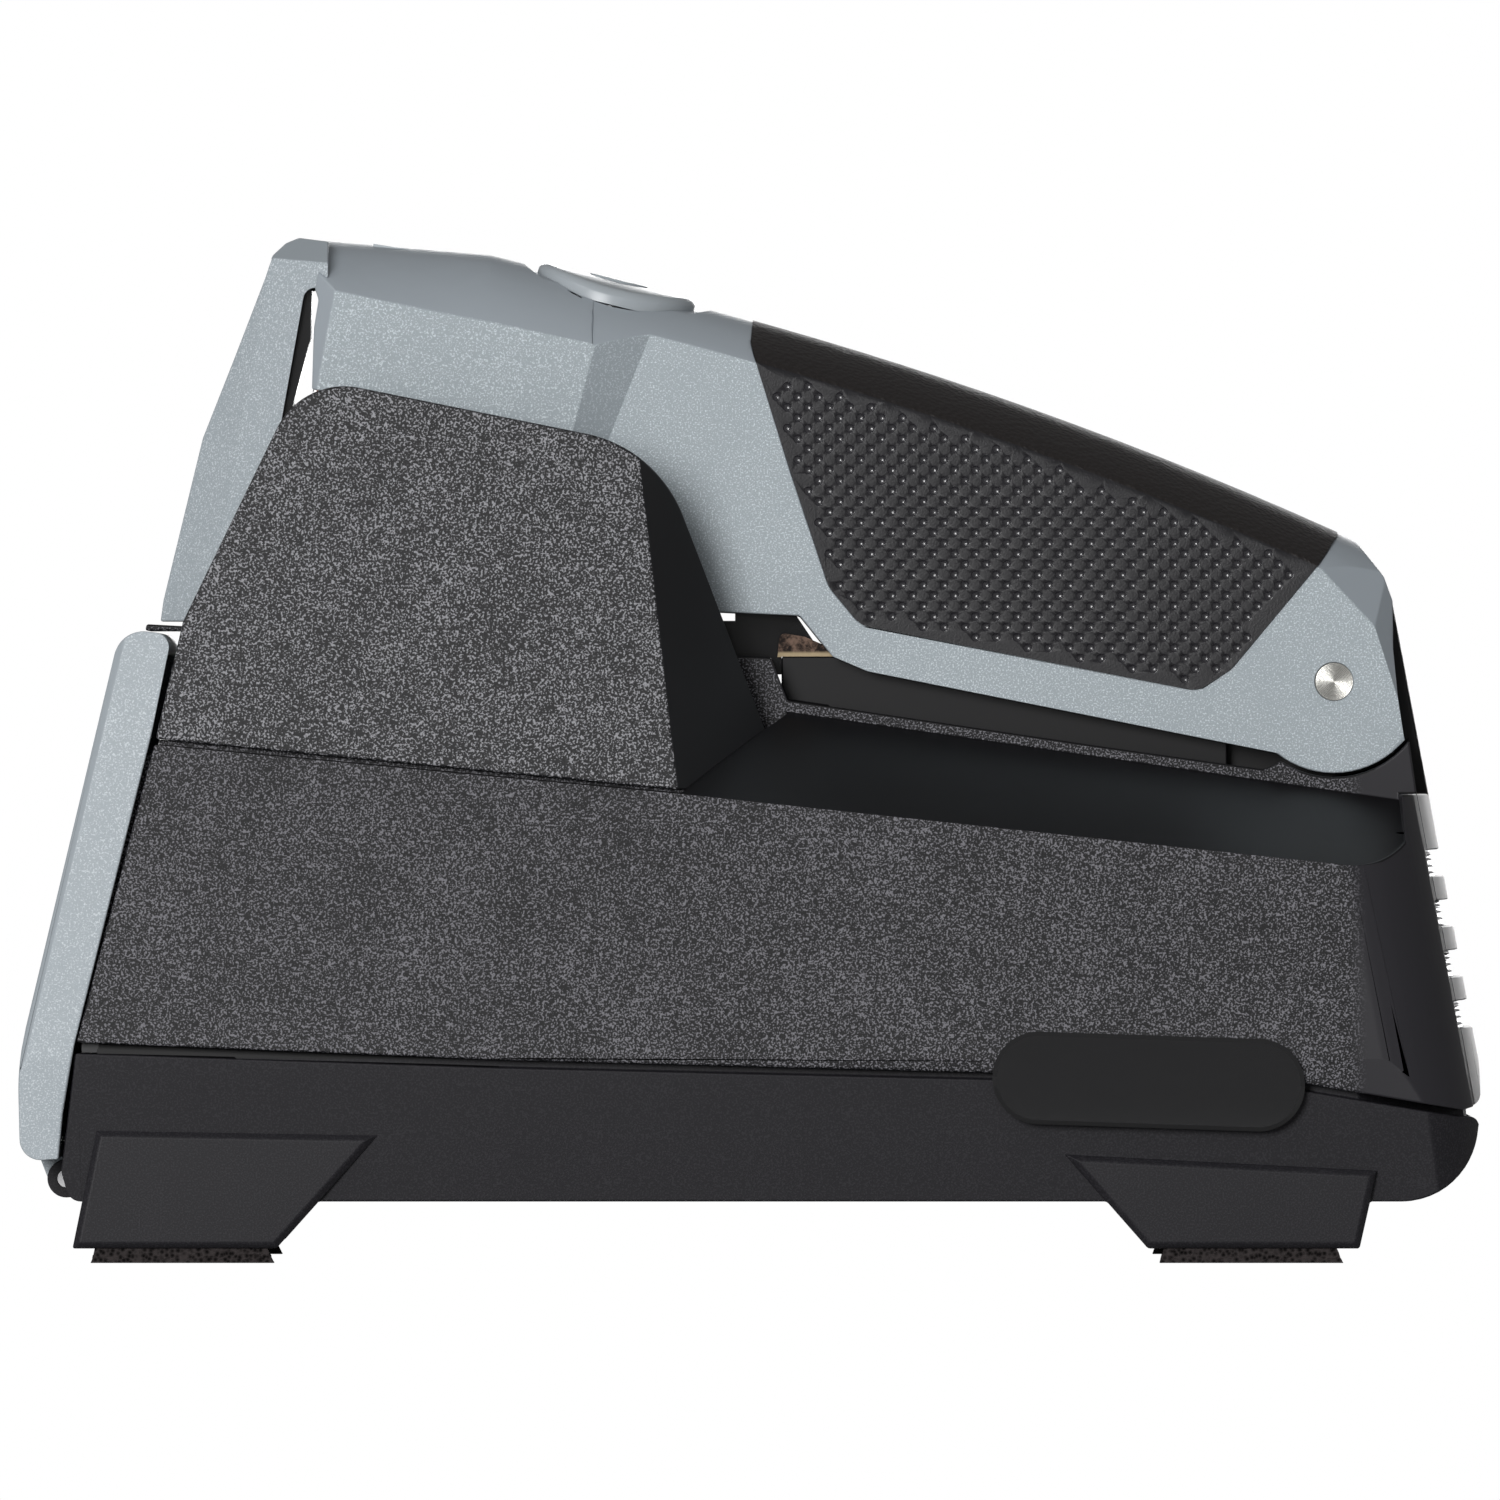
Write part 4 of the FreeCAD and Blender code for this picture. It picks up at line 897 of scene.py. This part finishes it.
strip_mesh = plain_box("seam_strip", (-111.2, -55.0, 35.0), (-108.4, 55.0, 37.6))
strip = bpy.data.objects.new("seam_strip", strip_mesh)
bpy.context.collection.objects.link(strip)
strip.data.materials.append(chassis.material)
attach(strip, "base")

# %% [markdown]
# The photograph is a cut-out on pure white. The floor is pale for the light that falls on it, and
# plain white for the camera, so that it bounces some light upwards and still can't be seen.

# %% Floor
def white_for_camera(name, level, seen):
    """A material that is diffuse for light and plain white where it is seen."""
    material = bpy.data.materials.new(name)
    material.use_nodes = True
    tree = material.node_tree
    tree.nodes.clear()
    rays = tree.nodes.new("ShaderNodeLightPath")
    diffuse = tree.nodes.new("ShaderNodeBsdfDiffuse")
    diffuse.inputs["Color"].default_value = (level, level, level, 1.0)
    glow = tree.nodes.new("ShaderNodeEmission")
    glow.inputs["Color"].default_value = (seen, seen, seen, 1.0)
    mix = tree.nodes.new("ShaderNodeMixShader")
    out = tree.nodes.new("ShaderNodeOutputMaterial")
    tree.links.new(rays.outputs["Is Camera Ray"], mix.inputs[0])
    tree.links.new(diffuse.outputs[0], mix.inputs[1])
    tree.links.new(glow.outputs[0], mix.inputs[2])
    tree.links.new(mix.outputs[0], out.inputs[0])
    return material


floor_half = 3.0
floor_mesh = bpy.data.meshes.new("floor")
corners = [(-floor_half, -floor_half, 0), (floor_half, -floor_half, 0), (floor_half, floor_half, 0),
           (-floor_half, floor_half, 0)]
floor_mesh.from_pydata(corners, [], [(0, 1, 2, 3)])
floor = bpy.data.objects.new("floor", floor_mesh)
bpy.context.collection.objects.link(floor)
floor.data.materials.append(white_for_camera("floor_white", 0.60, 1.0))

# %% [markdown]
# The surroundings give a weak even light, and the camera sees them as white. Most of the light
# comes from a large soft box in front, a little to the left and low, because the sides in the
# photograph are bright and the upper faces are darker. A small box from the upper left puts the
# bright spot into each dimple, and one behind lights the far side.

# %% Light
world = bpy.data.worlds.new("studio")
bpy.context.scene.world = world
world.use_nodes = True
tree = world.node_tree
rays = tree.nodes.new("ShaderNodeLightPath")
background = tree.nodes["Background"]
fill = 0.22
seen = tree.nodes.new("ShaderNodeBackground")
seen.inputs["Color"].default_value = (1.0, 1.0, 1.0, 1.0)
background.inputs["Color"].default_value = (fill, fill, fill, 1.0)
mix = tree.nodes.new("ShaderNodeMixShader")
tree.links.new(rays.outputs["Is Camera Ray"], mix.inputs[0])
tree.links.new(background.outputs[0], mix.inputs[1])
tree.links.new(seen.outputs[0], mix.inputs[2])
tree.links.new(mix.outputs[0], tree.nodes["World Output"].inputs[0])


def softbox(name, place, aim, width, height, power):
    """A rectangular lamp at a place, turned towards its aim."""
    light = bpy.data.lights.new(name, "AREA")
    light.shape = "RECTANGLE"
    light.size = width
    light.size_y = height
    light.energy = power
    holder = bpy.data.objects.new(name, light)
    bpy.context.collection.objects.link(holder)
    holder.location = place
    holder.rotation_euler = (Vector(aim) - Vector(place)).to_track_quat("-Z", "Y").to_euler()
    return holder


softbox("key", (-0.7, -2.0, 0.55), (0.0, 0.0, 0.08), 0.8, 0.8, 28.0)
softbox("corner", (-1.3, -1.1, 1.3), (0.0, 0.0, 0.12), 0.35, 0.35, 3.0)
softbox("far_side", (0.2, 2.1, 0.3), (0.0, 0.0, 0.08), 0.9, 0.9, 16.0)

# %% [markdown]
# The photograph was taken level and from far away, so it has almost no perspective. The camera
# stands six metres off with a long lens, which is set so that the near side of the housing fills
# the picture as it does in the photograph. The photograph has about six pixels to a millimetre,
# and its middle is 512 of them above the feet.

# %% Camera
camera_data = bpy.data.cameras.new("camera")
camera = bpy.data.objects.new("camera", camera_data)
bpy.context.collection.objects.link(camera)
camera_distance = 6.0
picture_width = 0.250
near_side = 0.045
sensor_width = 36.0
rows_above_feet = 512.0
rows_per_mm = 6.0
camera_height = rows_above_feet / rows_per_mm * MM
camera_data.sensor_width = sensor_width
camera_data.lens = sensor_width * (camera_distance - near_side) / picture_width
camera_data.clip_end = 40.0
camera.location = (0.0, -camera_distance, camera_height)
camera.rotation_euler = (math.radians(90.0), 0.0, 0.0)
scene = bpy.context.scene
scene.camera = camera
scene.view_settings.view_transform = "Standard"

print("lens", round(camera_data.lens, 1), "mm")
